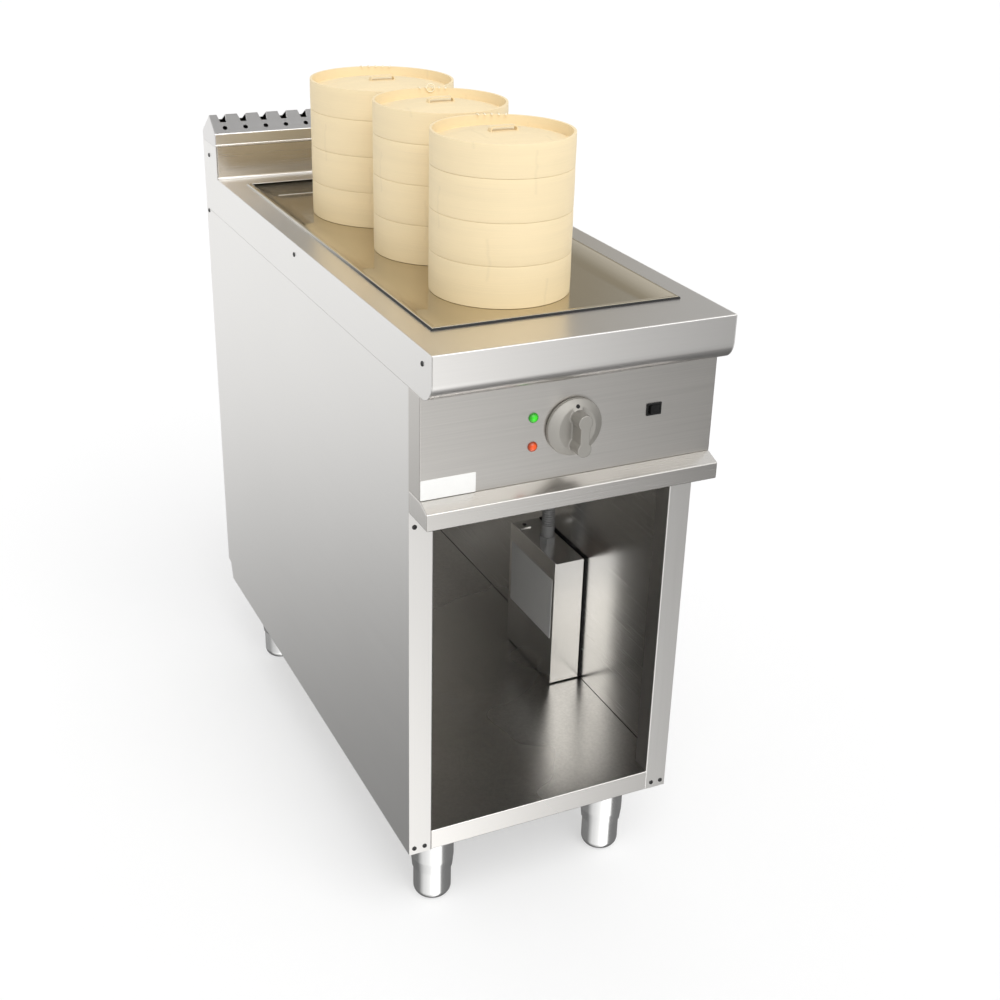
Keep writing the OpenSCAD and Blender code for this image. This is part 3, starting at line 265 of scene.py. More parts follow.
def plastic(name, colour, roughness, grit=0.05, shine=0.5):
    """Moulded plastic with a faint grit."""
    made, g, shader = material(name)
    grain = g.group(steel_grain, {"Stretch": (300.0, 300.0, 300.0), "Cloud Size": 40.0})
    g.link(g.scaled(colour, g.around_one(grain["Streak"], grit)), shader.inputs["Base Color"])
    g.link(g.math("MULTIPLY_ADD", grain["Cloud"], 0.12, roughness - 0.06), shader.inputs["Roughness"])
    shader.inputs["Specular IOR Level"].default_value = shine
    bump = g.node("ShaderNodeBump", {"Height": grain["Mottle"], "Strength": 0.12, "Distance": 0.0002})
    g.link(bump.outputs[0], shader.inputs["Normal"])
    return made


def lamp_lens(name, node, colour, glow):
    """Coloured lens with fine moulded facets, lit from behind and darker towards its edge."""
    made, g, shader = material(name)
    low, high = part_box(node)
    place = g.object_place()
    cells = g.node("ShaderNodeTexVoronoi", {"Vector": place, "Scale": 900.0}).outputs["Distance"]
    inputs = {0: place, 1: (low + high) / 2}
    x, _, z = g.node("ShaderNodeSeparateXYZ", {
        0: g.node("ShaderNodeVectorMath", inputs, operation="SUBTRACT").outputs[0]
    }).outputs
    flat = g.node("ShaderNodeCombineXYZ", {0: x, 1: z}).outputs[0]
    reach = g.node("ShaderNodeVectorMath", {0: flat}, operation="LENGTH").outputs["Value"]
    edge = (high.x - low.x) / 2
    limits = {"Value": reach, "From Min": edge * 0.35, "From Max": edge, "To Min": 1.0, "To Max": 0.25}
    lit = g.node("ShaderNodeMapRange", limits).outputs[0]
    g.link(g.scaled(colour, g.math("MULTIPLY", lit, g.around_one(cells, 0.35))), shader.inputs["Base Color"])
    g.link(g.scaled(glow, g.math("MULTIPLY", lit, g.around_one(cells, 0.5))), shader.inputs["Emission Color"])
    shader.inputs["Emission Strength"].default_value = 0.6
    shader.inputs["Roughness"].default_value = 0.2
    bump = g.node("ShaderNodeBump", {"Height": cells, "Strength": 0.15, "Distance": 0.0003})
    g.link(bump.outputs[0], shader.inputs["Normal"])
    return made


def seal_strip(name, dark, pale, start, end):
    """Rubber sealing bead, dark at the front and painted pale towards the back as a painted reflection."""
    made, g, shader = material(name)
    grain = g.group(steel_grain, {"Stretch": (300.0, 300.0, 300.0), "Cloud Size": 40.0})
    depth = g.node("ShaderNodeSeparateXYZ", {0: g.object_place()}).outputs[1]
    # Painted reflection: the mask turns the bead from dark at the front to pale at the back
    painted_reflection_mask = g.node("ShaderNodeMapRange", {"Value": depth, "From Min": start, "From Max": end}).outputs[0]
    mixed = g.node("ShaderNodeMix", {0: painted_reflection_mask, 6: (*dark, 1.0), 7: (*pale, 1.0)}, data_type="RGBA").outputs[2]
    tone = g.around_one(grain["Streak"], 0.15)
    toned = g.node("ShaderNodeVectorMath", {0: mixed, 3: tone}, operation="SCALE").outputs[0]
    g.link(toned, shader.inputs["Base Color"])
    g.link(g.math("MULTIPLY_ADD", grain["Cloud"], 0.12, 0.4), shader.inputs["Roughness"])
    return made


def bamboo(name, colour, strip_of, weave=False):
    """Pale bamboo; strip_of gives the strip's coordinates from the material's graph."""
    made, g, shader = material(name)
    strip = strip_of(g)
    fibre = g.group(bamboo_fibre, {"Strip": strip})
    tone = g.math("MULTIPLY", g.around_one(fibre["Fibre"], 0.10), g.around_one(fibre["Tone"], 0.10))
    tone = g.math("MULTIPLY", tone, g.math("MULTIPLY_ADD", fibre["Joint"], -0.05, 1.0))
    g.link(g.scaled(colour, tone), shader.inputs["Base Color"])
    g.link(g.math("MULTIPLY_ADD", fibre["Tone"], 0.15, 0.47), shader.inputs["Roughness"])
    height = g.math("MULTIPLY_ADD", fibre["Joint"], 0.6, fibre["Fibre"])
    if weave:
        height = g.math("MULTIPLY_ADD", woven_height(g), 1.6, height)
    bump = g.node("ShaderNodeBump", {"Height": height, "Strength": 0.25, "Distance": 0.0005})
    g.link(bump.outputs[0], shader.inputs["Normal"])
    shader.inputs["Specular IOR Level"].default_value = 0.35
    return made


WEAVE_PITCH = 9 * MM


def woven_height(g):
    """Height of flat strips that pass over and under each other on a square grid."""
    x, y, _ = g.node("ShaderNodeSeparateXYZ", {0: g.object_place()}).outputs
    turn = math.pi / WEAVE_PITCH
    wave_x = g.math("SINE", g.math("MULTIPLY", x, turn))
    wave_y = g.math("SINE", g.math("MULTIPLY", y, turn))
    return g.math("ABSOLUTE", g.math("MULTIPLY", wave_x, wave_y))


def hoop_strip(centre, radius):
    return lambda g: g.group(hoop_place, {"Centre": centre, "Radius": radius})["Strip"]


def straight_strip(g):
    return g.object_place()


# Finishes by record slot; the stretch of a steel is its grain's fineness along X, Y and Z
FINE = 700.0
LONG = 5.0
NOSE_FACE = -0.464
RAIL_FACE = -0.3975
# Painted light on the cabinet floor, brighter at its left and darker at its right
FLOOR_PAINTED_LIGHT = (1.65, 0.86)
finishes = {
    "side_steel": steel("side_satin", (0.80, 0.79, 0.77), 0.34, (FINE, LONG, FINE), 0.06, 0.05),
    "post_steel": steel("post_satin", (0.77, 0.755, 0.73), 0.33, (FINE, FINE, LONG), 0.07, 0.05),
    "panel_steel": steel("panel_brushed", (0.60, 0.58, 0.55), 0.32, (LONG, FINE, FINE), 0.22, 0.06, 0.0, 0.12),
    "worktop_steel": fronted_steel("worktop_satin", (0.73, 0.71, 0.69), (0.96, 0.94, 0.91), NOSE_FACE, 0.30),
    "well_steel": steel("well_polished", (0.58, 0.525, 0.42), 0.15, (FINE, LONG, FINE), 0.06, 0.06),
    "flue_steel": steel("flue_satin", (0.70, 0.69, 0.68), 0.30, (LONG, FINE, FINE), 0.03, 0.05),
    "inner_steel": steel("inner_dull", (0.74, 0.72, 0.69), 0.30, (FINE, LONG, FINE), 0.10, 0.16, 0.25),
    "box_steel": steel("box_satin", (0.95, 0.94, 0.92), 0.24, (FINE, FINE, LONG), 0.06, 0.06),
    "leg_steel": steel("leg_polished", (0.86, 0.86, 0.85), 0.20, (FINE, FINE, LONG), 0.04, 0.05),
    "element_steel": steel("element_dull", (0.40, 0.38, 0.36), 0.40, (LONG, FINE, FINE), 0.15, 0.15, 0.2),
    "valve_brass": steel("valve_brass", (0.68, 0.50, 0.22), 0.28, (FINE, FINE, LONG), 0.08, 0.10),
    # Screw heads near black, as painted shade of the holes they sit in
    "screw_steel": steel("screw_steel", (0.07, 0.07, 0.07), 0.50, (FINE, FINE, FINE), 0.08, 0.05),
    "knob_grey": steel("knob_grey", (0.43, 0.415, 0.385), 0.64, (FINE, FINE, FINE), 0.06, 0.05, 0.06),
    "lever_red": plastic("lever_red", (0.45, 0.03, 0.02), 0.45),
    "lens_green": lamp_lens("lens_green", "lamp_green", (0.02, 0.25, 0.01), (0.06, 0.95, 0.03)),
    "lens_orange": lamp_lens("lens_orange", "lamp_orange", (0.40, 0.04, 0.01), (0.95, 0.13, 0.02)),
    "switch_black": plastic("switch_black", (0.008, 0.008, 0.008), 0.50, 0.10, 0.25),
    "stat_grey": plastic("stat_grey", (0.16, 0.16, 0.17), 0.55),
    "plate_white": plastic("plate_white", (0.86, 0.86, 0.84), 0.45, 0.03),
    "label_white": plastic("label_white", (0.62, 0.62, 0.61), 0.50, 0.05),
    "conduit_grey": plastic("conduit_grey", (0.30, 0.30, 0.30), 0.42),
    "bamboo_slat": bamboo("bamboo_slat", (0.84, 0.68, 0.42), straight_strip),
    "bamboo_dome": bamboo("bamboo_dome", (0.88, 0.73, 0.47), straight_strip, weave=True),
    "bamboo_hoop": bamboo("bamboo_strip", (0.88, 0.73, 0.47), straight_strip),
    "seal_black": seal_strip("seal_black", (0.008, 0.008, 0.008), (0.60, 0.58, 0.53), -0.20, 0.10),
    "cane_white": bamboo("cane_white", (0.92, 0.84, 0.64), straight_strip),
}
# Nodes whose finish is a shade of their slot's; the back panel, service deck and cabinet floor are darker as painted
# shade inside the cabinet
shades = {
    "back_panel": steel("back_painted_shade", (0.56, 0.55, 0.535), 0.27, (FINE, FINE, LONG), 0.06, 0.10, 0.15),
    "service_deck": steel("deck_painted_shade", (0.62, 0.61, 0.59), 0.30, (FINE, LONG, FINE), 0.08, 0.12, 0.2),
    "flue_duct": steel("duct_satin", (0.64, 0.61, 0.57), 0.26, (LONG, FINE, FINE), 0.06, 0.06),
    "drip_ledge": steel("ledge_satin", (0.68, 0.66, 0.63), 0.26, (LONG, FINE, FINE), 0.06, 0.06),
    # Cabinet floor: darker sheet as painted shade inside the cabinet, with painted light brighter to its left
    "cabinet_floor": fronted_steel("floor_painted_shade_and_light", (0.59, 0.575, 0.55), (0.80, 0.78, 0.75), RAIL_FACE, 0.27, 0.40,
                                   FLOOR_PAINTED_LIGHT),
    "side_panel_right": steel("side_shaded", (0.80, 0.79, 0.77), 0.26, (FINE, LONG, FINE), 0.06, 0.08),
}
slot_of = {part["node"]: part["material_slot"] for part in frame["record"]["subparts"]}
body_of = {node: body for body, held in frame["record"]["behaviour"]["bodies"].items() for node in held}


def dress_solids():
    """Gives each CAD node the finish of its slot."""
    for name, node in nodes.items():
        node.data.materials.clear()
        node.data.materials.append(shades.get(name) or finishes[slot_of[name]])


def add_object(name, mesh):
    made = bpy.data.objects.new(name, mesh)
    bpy.context.scene.collection.objects.link(made)
    return made


def mesh_of(name, build):
    """Mesh made by a function that fills a bmesh, with its faces turned outwards."""
    bm = bmesh.new()
    build(bm)
    bmesh.ops.remove_doubles(bm, verts=bm.verts, dist=1e-6)
    bmesh.ops.dissolve_degenerate(bm, dist=1e-6, edges=bm.edges)
    bmesh.ops.recalc_face_normals(bm, faces=bm.faces)
    mesh = bpy.data.meshes.new(name)
    bm.to_mesh(mesh)
    bm.free()
    return mesh


def finish_piece(piece, body, slot, replaced=(), finish=None, smooth=35):
    """Shades a new piece, gives it its finish and ties it to its body."""
    piece.data.materials.clear()
    piece.data.materials.append(finish or finishes[slot])
    if smooth:
        piece.data.shade_smooth()
        piece.data.set_sharp_from_angle(angle=math.radians(smooth))
    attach(piece, body)
    if replaced:
        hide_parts(*replaced)
    return piece


def eased(node, radius, angle=30):
    """Shows a CAD node as a copy whose outer folds and broad edges are rounded."""
    bm = bmesh.new()
    bm.from_mesh(nodes[node].data)
    bmesh.ops.remove_doubles(bm, verts=bm.verts, dist=1e-6)
    bmesh.ops.dissolve_limit(bm, angle_limit=math.radians(0.5), verts=bm.verts, edges=bm.edges)
    folds = [edge for edge in bm.edges if is_fold(edge, radius, math.radians(angle))]
    bmesh.ops.bevel(bm, geom=folds, offset=radius, offset_type="OFFSET", segments=4, profile=0.5,
                    affect="EDGES", clamp_overlap=True)
    mesh = bpy.data.meshes.new(f"{node}_eased")
    bm.to_mesh(mesh)
    bm.free()
    mesh.shade_smooth()
    mesh.set_sharp_from_angle(angle=math.radians(30))
    piece = add_object(f"{node}_eased", mesh)
    even = piece.modifiers.new("even", "WEIGHTED_NORMAL")
    even.keep_sharp = True
    even.weight = 100
    evaluated = piece.evaluated_get(bpy.context.evaluated_depsgraph_get())
    piece.data = bpy.data.meshes.new_from_object(evaluated)
    piece.modifiers.remove(even)
    finish_piece(piece, body_of[node], slot_of[node], [node], shades.get(node), None)


SOFT_GRID = 0.7 * MM
SOFT_ROUNDS = 8


def softened(node):
    """Shows a CAD node as a copy with soft moulded edges."""
    bm = bmesh.new()
    bm.from_mesh(nodes[node].data)
    bmesh.ops.remove_doubles(bm, verts=bm.verts, dist=1e-6)
    mesh = bpy.data.meshes.new(f"{node}_soft")
    bm.to_mesh(mesh)
    bm.free()
    piece = add_object(f"{node}_soft", mesh)
    grid = piece.modifiers.new("grid", "REMESH")
    grid.mode = "VOXEL"
    grid.voxel_size = SOFT_GRID
    soft = piece.modifiers.new("soft", "SMOOTH")
    soft.factor = 0.5
    soft.iterations = SOFT_ROUNDS
    evaluated = piece.evaluated_get(bpy.context.evaluated_depsgraph_get())
    piece.data = bpy.data.meshes.new_from_object(evaluated)
    piece.modifiers.clear()
    finish_piece(piece, body_of[node], slot_of[node], [node], shades.get(node), 180)


def is_fold(edge, radius, angle):
    """True for an outward edge between two faces that are both wider than the rounding."""
    if len(edge.link_faces) != 2 or not edge.is_convex or edge.calc_face_angle() < angle:
        return False
    return all(face.calc_area() / face.calc_perimeter() > radius * 0.8 for face in edge.link_faces)


def rounded(points, radius, steps=3):
    """Closed outline of (r, z) points with each corner turned into a short arc."""
    result = []
    count = len(points)
    for i in range(count):
        before, corner, after = (Vector(points[(i + k) % count]) for k in (-1, 0, 1))
        to_before = before - corner
        to_after = after - corner
        reach = min(radius, to_before.length * 0.45, to_after.length * 0.45)
        start = corner + to_before.normalized() * reach
        end = corner + to_after.normalized() * reach
        for k in range(steps + 1):
            t = k / steps
            result.append(start.lerp(corner, t).lerp(corner.lerp(end, t), t))
    return result


def revolve(bm, outline, centre, step=0.0, outer=None, start=0.0):
    """Sweeps a closed (r, z) outline round an upright axis.

    With a step, points at the outer radius start that much lower and climb to it in one turn,
    as a strip does whose end laps over its own beginning.
    """
    rings = []
    for i in range(HOOP_STEPS + 1):
        share = i / HOOP_STEPS
        turn = start + share * math.tau
        ring = []
        for r, z in outline:
            near = max(0.0, 1 - abs(r - outer) / (2 * MM)) if outer else 0.0
            reach = r - step * (1 - share) * near
            place = (centre.x + reach * math.cos(turn), centre.y + reach * math.sin(turn), z)
            ring.append(bm.verts.new(place))
        rings.append(ring)
    count = len(outline)
    for i in range(len(rings)):
        here, there = rings[i], rings[(i + 1) % len(rings)]
        for k in range(count):
            bm.faces.new((here[k], there[k], there[(k + 1) % count], here[(k + 1) % count]))


def crowned_wall(radius, low, high):
    """Points up a hoop's outer face, which swells a little between its edges."""
    middle = (low + high) / 2
    half = (high - low) / 2
    heights = [low + (high - low) * k / 6 for k in range(7)]
    return [(radius - HOOP_CROWN * ((z - middle) / half) ** 2, z) for z in heights]


def stack_frame(stack):
    """Centre, outer radius and lower edges of the tiers and lid of a stack, from its hoops."""
    hoops = [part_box(f"{stack}_hoop_{level}") for level in LEVELS] + [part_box(f"{stack}_lid_hoop")]
    low, high = hoops[0]
    centre = Vector(((low.x + high.x) / 2, (low.y + high.y) / 2, 0.0))
    radius = (high.x - low.x) / 2
    return centre, radius, [box[0].z for box in hoops], hoops[-1][1].z


def tier_outline(radius, low, top):
    """Section of a tier's hoop: outer strip, inner ring that laps upwards, and the slats' shelf."""
    wall = radius - HOOP_WALL
    ring = wall - RING_WALL
    shelf = ring - SHELF_WIDTH
    corners = [
        (wall - LAP_FIT, top), (wall - LAP_FIT, top + RING_LAP), (ring, top + RING_LAP),
        (ring, low + RING_UP + SHELF_HEIGHT), (shelf, low + RING_UP + SHELF_HEIGHT),
        (shelf, low + RING_UP), (wall, low + RING_UP), (wall, low),
    ]
    return rounded(crowned_wall(radius, low, top) + corners, HOOP_ROUND)


def lid_outline(radius, low, top):
    """Section of a lid's hoop with the ring that its dome rests on."""
    wall = radius - HOOP_WALL
    ring = wall - RING_WALL
    shelf = low + DOME_UP
    corners = [
        (wall, top), (wall, shelf), (ring, shelf), (ring, shelf - LID_RING_HEIGHT),
        (wall, shelf - LID_RING_HEIGHT), (wall, low),
    ]
    return rounded(crowned_wall(radius, low, top) + corners, HOOP_ROUND)


def dome_outline(radius, base):
    """Section of a lid's domed panel from its edge to just off its middle."""
    edge = radius - HOOP_WALL - SEAM
    ball = (edge ** 2 + DOME_RISE ** 2) / (2 * DOME_RISE)
    shares = [k / 24 for k in range(25)]
    upper = [(edge * s, base + DOME_RISE - ball + math.sqrt(ball ** 2 - (edge * s) ** 2)) for s in shares]
    inner = [(r, max(base, z - DOME_WALL)) for r, z in upper]
    return upper, inner


def build_dome(bm, radius, base, centre):
    upper, inner = dome_outline(radius, base)
    near_axis = 1e-9
    outline = [(max(r, near_axis), z) for r, z in upper + inner[::-1]]
    revolve(bm, outline, centre)


def build_strap(bm, centre, top, underside):
    """Flat bamboo strap that bends down at both ends into the dome."""
    half = STRAP_LENGTH / 2
    bend = 3.2 * MM
    thick = STRAP_HEIGHT
    path = [(-half + thick, underside)]
    for k in range(7):
        turn = math.pi - k * math.pi / 12
        path.append((-half + thick + bend + bend * math.cos(turn), top - thick - bend + bend * math.sin(turn)))
    path += [(-x, z) for x, z in reversed(path)]
    outer = []
    for k, (x, z) in enumerate(path):
        before = Vector(path[max(0, k - 1)])
        after = Vector(path[min(len(path) - 1, k + 1)])
        ahead = (after - before).normalized()
        outer.append((x - ahead.y * thick, z + ahead.x * thick))
    sides = []
    for y in (-STRAP_WIDTH / 2, STRAP_WIDTH / 2):
        inner_row = [bm.verts.new((centre.x + x, centre.y + y, z)) for x, z in path]
        outer_row = [bm.verts.new((centre.x + x, centre.y + y, z)) for x, z in outer]
        sides.append((inner_row, outer_row))
    (near_in, near_out), (far_in, far_out) = sides
    for k in range(len(path) - 1):
        bm.faces.new((near_in[k], near_in[k + 1], near_out[k + 1], near_out[k]))
        bm.faces.new((far_in[k], far_out[k], far_out[k + 1], far_in[k + 1]))
        bm.faces.new((near_out[k], near_out[k + 1], far_out[k + 1], far_out[k]))
        bm.faces.new((near_in[k], far_in[k], far_in[k + 1], near_in[k + 1]))
    for k in (0, -1):
        bm.faces.new((near_in[k], near_out[k], far_out[k], far_in[k]))


def geometry_tree(name, inputs):
    """Empty geometry tree with named inputs, its graph, input sockets and output socket."""
    tree = bpy.data.node_groups.new(name, "GeometryNodeTree")
    tree.interface.new_socket("Geometry", in_out="INPUT", socket_type="NodeSocketGeometry")
    for label, kind, value in inputs:
        socket = tree.interface.new_socket(label, in_out="INPUT", socket_type=kind)
        if value is not None:
            socket.default_value = value
    tree.interface.new_socket("Geometry", in_out="OUTPUT", socket_type="NodeSocketGeometry")
    graph = Graph(tree)
    return tree, graph, graph.node("NodeGroupInput").outputs, graph.node("NodeGroupOutput").inputs[0]


def grown(name, tree, values, seeds=None):
    """Object whose mesh is what the tree makes from the seed mesh and the named values."""
    made = add_object(name, seeds or bpy.data.meshes.new(name))
    modifier = made.modifiers.new("grow", "NODES")
    modifier.node_group = tree
    for item in tree.interface.items_tree:
        if item.in_out == "INPUT" and item.name in values:
            modifier[item.identifier] = values[item.name]
    evaluated = made.evaluated_get(bpy.context.evaluated_depsgraph_get())
    mesh = bpy.data.meshes.new_from_object(evaluated)
    made.modifiers.remove(modifier)
    made.data = mesh
    return made


def make_slat_tree():
    """Round slatted floor: slats along X cut to the circle's chords, over battens along Y."""
    sizes = ["Radius", "Slat Width", "Slat Gap", "Slat Height", "Batten Radius", "Batten Width"]
    tree, g, given, out = geometry_tree(
        "Basket Slats",
        [(label, "NodeSocketFloat", 0.01) for label in sizes]
        + [("Centre", "NodeSocketVector", (0.0, 0.0, 0.0)), ("Finish", "NodeSocketMaterial", None)],
    )
    pitch = g.math("ADD", given["Slat Width"], given["Slat Gap"])
    span = g.math("ADD", given["Batten Radius"], g.math("MULTIPLY_ADD", given["Slat Width"], 0.5, -MM))
    count = g.math("FLOOR", g.math("DIVIDE", span, pitch))
    slats = row_of_strips(g, count, pitch, 1, given["Radius"], given["Slat Width"], given["Slat Height"])
    batten_step = g.math("MULTIPLY", given["Radius"], 0.5)
    battens = row_of_strips(g, 1.0, batten_step, 0, given["Batten Radius"], given["Batten Width"], given["Slat Height"])
    half = g.math("MULTIPLY", given["Slat Height"], 0.5)
    raised = g.node("GeometryNodeTransform", {"Geometry": slats, "Translation": g.node("ShaderNodeCombineXYZ", {2: half}).outputs[0]})
    down = g.node("ShaderNodeCombineXYZ", {2: g.math("MULTIPLY", half, -1.0)}).outputs[0]
    lowered = g.node("GeometryNodeTransform", {"Geometry": battens, "Translation": down})
    joined = g.node("GeometryNodeJoinGeometry")
    g.link(raised.outputs[0], joined.inputs[0])
    g.link(lowered.outputs[0], joined.inputs[0])
    placed = g.node("GeometryNodeTransform", {"Geometry": joined.outputs[0], "Translation": given["Centre"]})
    real = g.node("GeometryNodeRealizeInstances", {"Geometry": placed.outputs[0]})
    dressed = g.node("GeometryNodeSetMaterial", {"Geometry": real.outputs[0], "Material": given["Finish"]})
    g.link(dressed.outputs[0], out)
    return tree


def row_of_strips(g, count, pitch, axis, radius, width, height):
    """Strips side by side along an axis, each as long as the circle's chord at its outer edge."""
    start = g.node("ShaderNodeCombineXYZ", {axis: g.math("MULTIPLY", g.math("MULTIPLY", count, pitch), -1.0)}).outputs[0]
    step = g.node("ShaderNodeCombineXYZ", {axis: pitch}).outputs[0]
    number = g.math("MULTIPLY_ADD", count, 2.0, 1.0)
    line = g.node("GeometryNodeMeshLine", {"Count": number, "Start Location": start, "Offset": step})
    place = g.node("ShaderNodeSeparateXYZ", {0: g.node("GeometryNodeInputPosition").outputs[0]}).outputs[axis]
    outer = g.math("ADD", g.math("ABSOLUTE", place), g.math("MULTIPLY", width, 0.5))
    chord = g.math("SUBTRACT", g.math("MULTIPLY", radius, radius), g.math("MULTIPLY", outer, outer))
    length = g.math("MULTIPLY", g.math("SQRT", g.math("MAXIMUM", chord, 1e-8)), 2.0)
    quad = g.node("GeometryNodeCurvePrimitiveQuadrilateral", {"Width": width, "Height": height})
    fillet = g.node("GeometryNodeFilletCurve", {"Curve": quad.outputs[0], "Radius": g.math("MULTIPLY", height, 0.3), "Count": 3}, mode="POLY")
    ends = [(-0.5, 0.0, 0.0), (0.5, 0.0, 0.0)] if axis == 1 else [(0.0, -0.5, 0.0), (0.0, 0.5, 0.0)]
    spine = g.node("GeometryNodeCurvePrimitiveLine", {"Start": ends[0], "End": ends[1]})
    strip = g.node("GeometryNodeCurveToMesh", {"Curve": spine.outputs[0], "Profile Curve": fillet.outputs[0], "Fill Caps": True})
    scale = g.node("ShaderNodeCombineXYZ", {1 - axis: length, axis: 1.0, 2: 1.0}).outputs[0]
    inputs = {"Points": line.outputs[0], "Instance": strip.outputs[0], "Scale": scale}
    return g.node("GeometryNodeInstanceOnPoints", inputs).outputs[0]


def make_setting_tree():
    """Sets a copy of one small piece at each seed point, turned as the point says."""
    tree, g, given, out = geometry_tree(
        "Set Pieces", [("Piece", "NodeSocketObject", None), ("Finish", "NodeSocketMaterial", None)]
    )
    points = g.node("GeometryNodeMeshToPoints", {"Mesh": given["Geometry"]})
    turn = g.node("GeometryNodeInputNamedAttribute", {"Name": "turn"}, data_type="FLOAT_VECTOR")
    rotation = g.node("FunctionNodeEulerToRotation", {0: turn.outputs[0]})
    piece = g.node("GeometryNodeObjectInfo", {"Object": given["Piece"]})
    inputs = {"Points": points.outputs[0], "Instance": piece.outputs["Geometry"], "Rotation": rotation.outputs[0]}
    copies = g.node("GeometryNodeInstanceOnPoints", inputs)
    real = g.node("GeometryNodeRealizeInstances", {"Geometry": copies.outputs[0]})
    dressed = g.node("GeometryNodeSetMaterial", {"Geometry": real.outputs[0], "Material": given["Finish"]})
    g.link(dressed.outputs[0], out)
    return tree


def seed_points(name, places, turns):
    """Mesh of loose points with the turn of the piece at each."""
    mesh = bpy.data.meshes.new(name)
    mesh.from_pydata([tuple(p) for p in places], [], [])
    turn = mesh.attributes.new("turn", "FLOAT_VECTOR", "POINT")
    for k, value in enumerate(turns):
        turn.data[k].vector = value
    return mesh


def make_tiers(stack, slat_tree):
    """Hoops, slatted floors, lid and strap of one stack."""
    centre, radius, lows, rim = stack_frame(stack)
    strip = bamboo(f"bamboo_{stack}", (0.88, 0.73, 0.47), hoop_strip(centre, radius))
    for k, level in enumerate(LEVELS):
        body = f"{stack}_tier_{level}"
        outline = tier_outline(radius, lows[k], lows[k + 1] - SEAM)
        start = LAP_ANGLE + LAP_TURN * k
        mesh = mesh_of(f"{body}_hoop", lambda bm: revolve(bm, outline, centre, STRIP_STEP, radius, start))
        finish_piece(add_object(f"{body}_hoop", mesh), body, "bamboo_hoop", [f"{stack}_hoop_{level}"], strip, 50)
        slats = grown(f"{body}_slats", slat_tree, slat_sizes(centre, radius, lows[k]))
        finish_piece(slats, body, "bamboo_slat", [f"{stack}_slats_{level}"])
    make_lid(stack, centre, radius, lows[-1], rim, strip)


LAP_ANGLE = math.radians(96)
LAP_TURN = math.radians(7)


def slat_sizes(centre, radius, low):
    slat_radius = radius - HOOP_WALL - RING_WALL - SEAM
    return {
        "Radius": slat_radius,
        "Slat Width": SLAT_WIDTH,
        "Slat Gap": SLAT_GAP,
        "Slat Height": SLAT_HEIGHT,
        "Batten Radius": slat_radius - SHELF_WIDTH - MM,
        "Batten Width": BATTEN_WIDTH,
        "Centre": centre + Vector((0.0, 0.0, low + RING_UP + SHELF_HEIGHT)),
        "Finish": finishes["bamboo_slat"],
    }


def make_lid(stack, centre, radius, low, rim, strip):
    """Lid hoop, domed panel and strap, on the lid's body."""
    body = f"{stack}_lid"
    outline = lid_outline(radius, low, rim)
    start = LAP_ANGLE + LAP_TURN * 3
    mesh = mesh_of(f"{body}_ring", lambda bm: revolve(bm, outline, centre, STRIP_STEP, radius, start))
    finish_piece(add_object(f"{body}_ring", mesh), body, "bamboo_hoop", [f"{stack}_lid_hoop"], strip, 50)
    base = low + DOME_UP
    mesh = mesh_of(f"{body}_panel", lambda bm: build_dome(bm, radius, base, centre))
    finish_piece(add_object(f"{body}_panel", mesh), body, "bamboo_dome", [f"{stack}_lid_dome"])
    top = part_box(f"{stack}_lid_dome")[1].z
    mesh = mesh_of(f"{body}_strap", lambda bm: build_strap(bm, centre, top, base + DOME_RISE - DOME_WALL))
    finish_piece(add_object(f"{body}_strap", mesh), body, "bamboo_hoop")


SCREW_RADIUS = 3.2 * MM
SCREW_HEIGHT = 1.3 * MM
SCREW_SLOT = 0.9 * MM


def screw_head():
    """Pan head with a cross recess, its seat at the origin and its top along Z."""

    def build(bm):
        rings = [(1.0, 0.0), (1.0, 0.35), (0.9, 0.75), (0.7, 0.95), (0.45, 1.0)]
        rows = []
        sides = 24
        for reach, rise in rings:
            rows.append([
                bm.verts.new((
                    SCREW_RADIUS * reach * math.cos(k * math.tau / sides),
                    SCREW_RADIUS * reach * math.sin(k * math.tau / sides),
                    SCREW_HEIGHT * rise,
                ))
                for k in range(sides)
            ])
        for lower, upper in zip(rows, rows[1:]):
            for k in range(sides):
                bm.faces.new((lower[k], lower[(k + 1) % sides], upper[(k + 1) % sides], upper[k]))
        bm.faces.new(rows[0][::-1])
        cross_recess(bm, rows[-1])

    mesh = mesh_of("screw_head", build)
    return bpy.data.objects.new("screw_head", mesh)


def cross_recess(bm, rim):
    """Closes the top of a head with a cross-shaped pit."""
    wide = SCREW_SLOT / 2
    long = SCREW_RADIUS * 0.4
    corners = []
    for k in range(4):
        turn = Matrix.Rotation(k * math.pi / 2, 3, "Z")
        corners += [turn @ Vector(p) for p in ((long, -wide, 0), (long, wide, 0), (wide, wide, 0))]
    top = [bm.verts.new((c.x, c.y, SCREW_HEIGHT)) for c in corners]
    pit = [bm.verts.new((c.x * 0.8, c.y * 0.8, SCREW_HEIGHT * 0.25)) for c in corners]
    count = len(corners)
    for k in range(count):
        bm.faces.new((top[k], top[(k + 1) % count], pit[(k + 1) % count], pit[k]))
    bm.faces.new(pit)
    edges = []
    for row in (rim, top):
        for k in range(len(row)):
            pair = (row[k], row[(k + 1) % len(row)])
            edges.append(bm.edges.get(pair) or bm.edges.new(pair))
    bmesh.ops.triangle_fill(bm, use_beauty=True, use_dissolve=False, edges=edges)


def screw_places():
    """Seat and direction of each screw, read from the loose solids of the screws node."""
    bm = bmesh.new()
    bm.from_mesh(nodes["screws"].data)
    bmesh.ops.remove_doubles(bm, verts=bm.verts, dist=1e-6)
    left = set(bm.verts)
    found = []
    while left:
        patch = [left.pop()]
        island = set(patch)
        while patch:
            for edge in patch.pop().link_edges:
                for vert in edge.verts:
                    if vert not in island:
                        island.add(vert)
                        patch.append(vert)
        left -= island
        found.append(screw_seat([v.co.copy() for v in island]))
    bm.free()
    return found


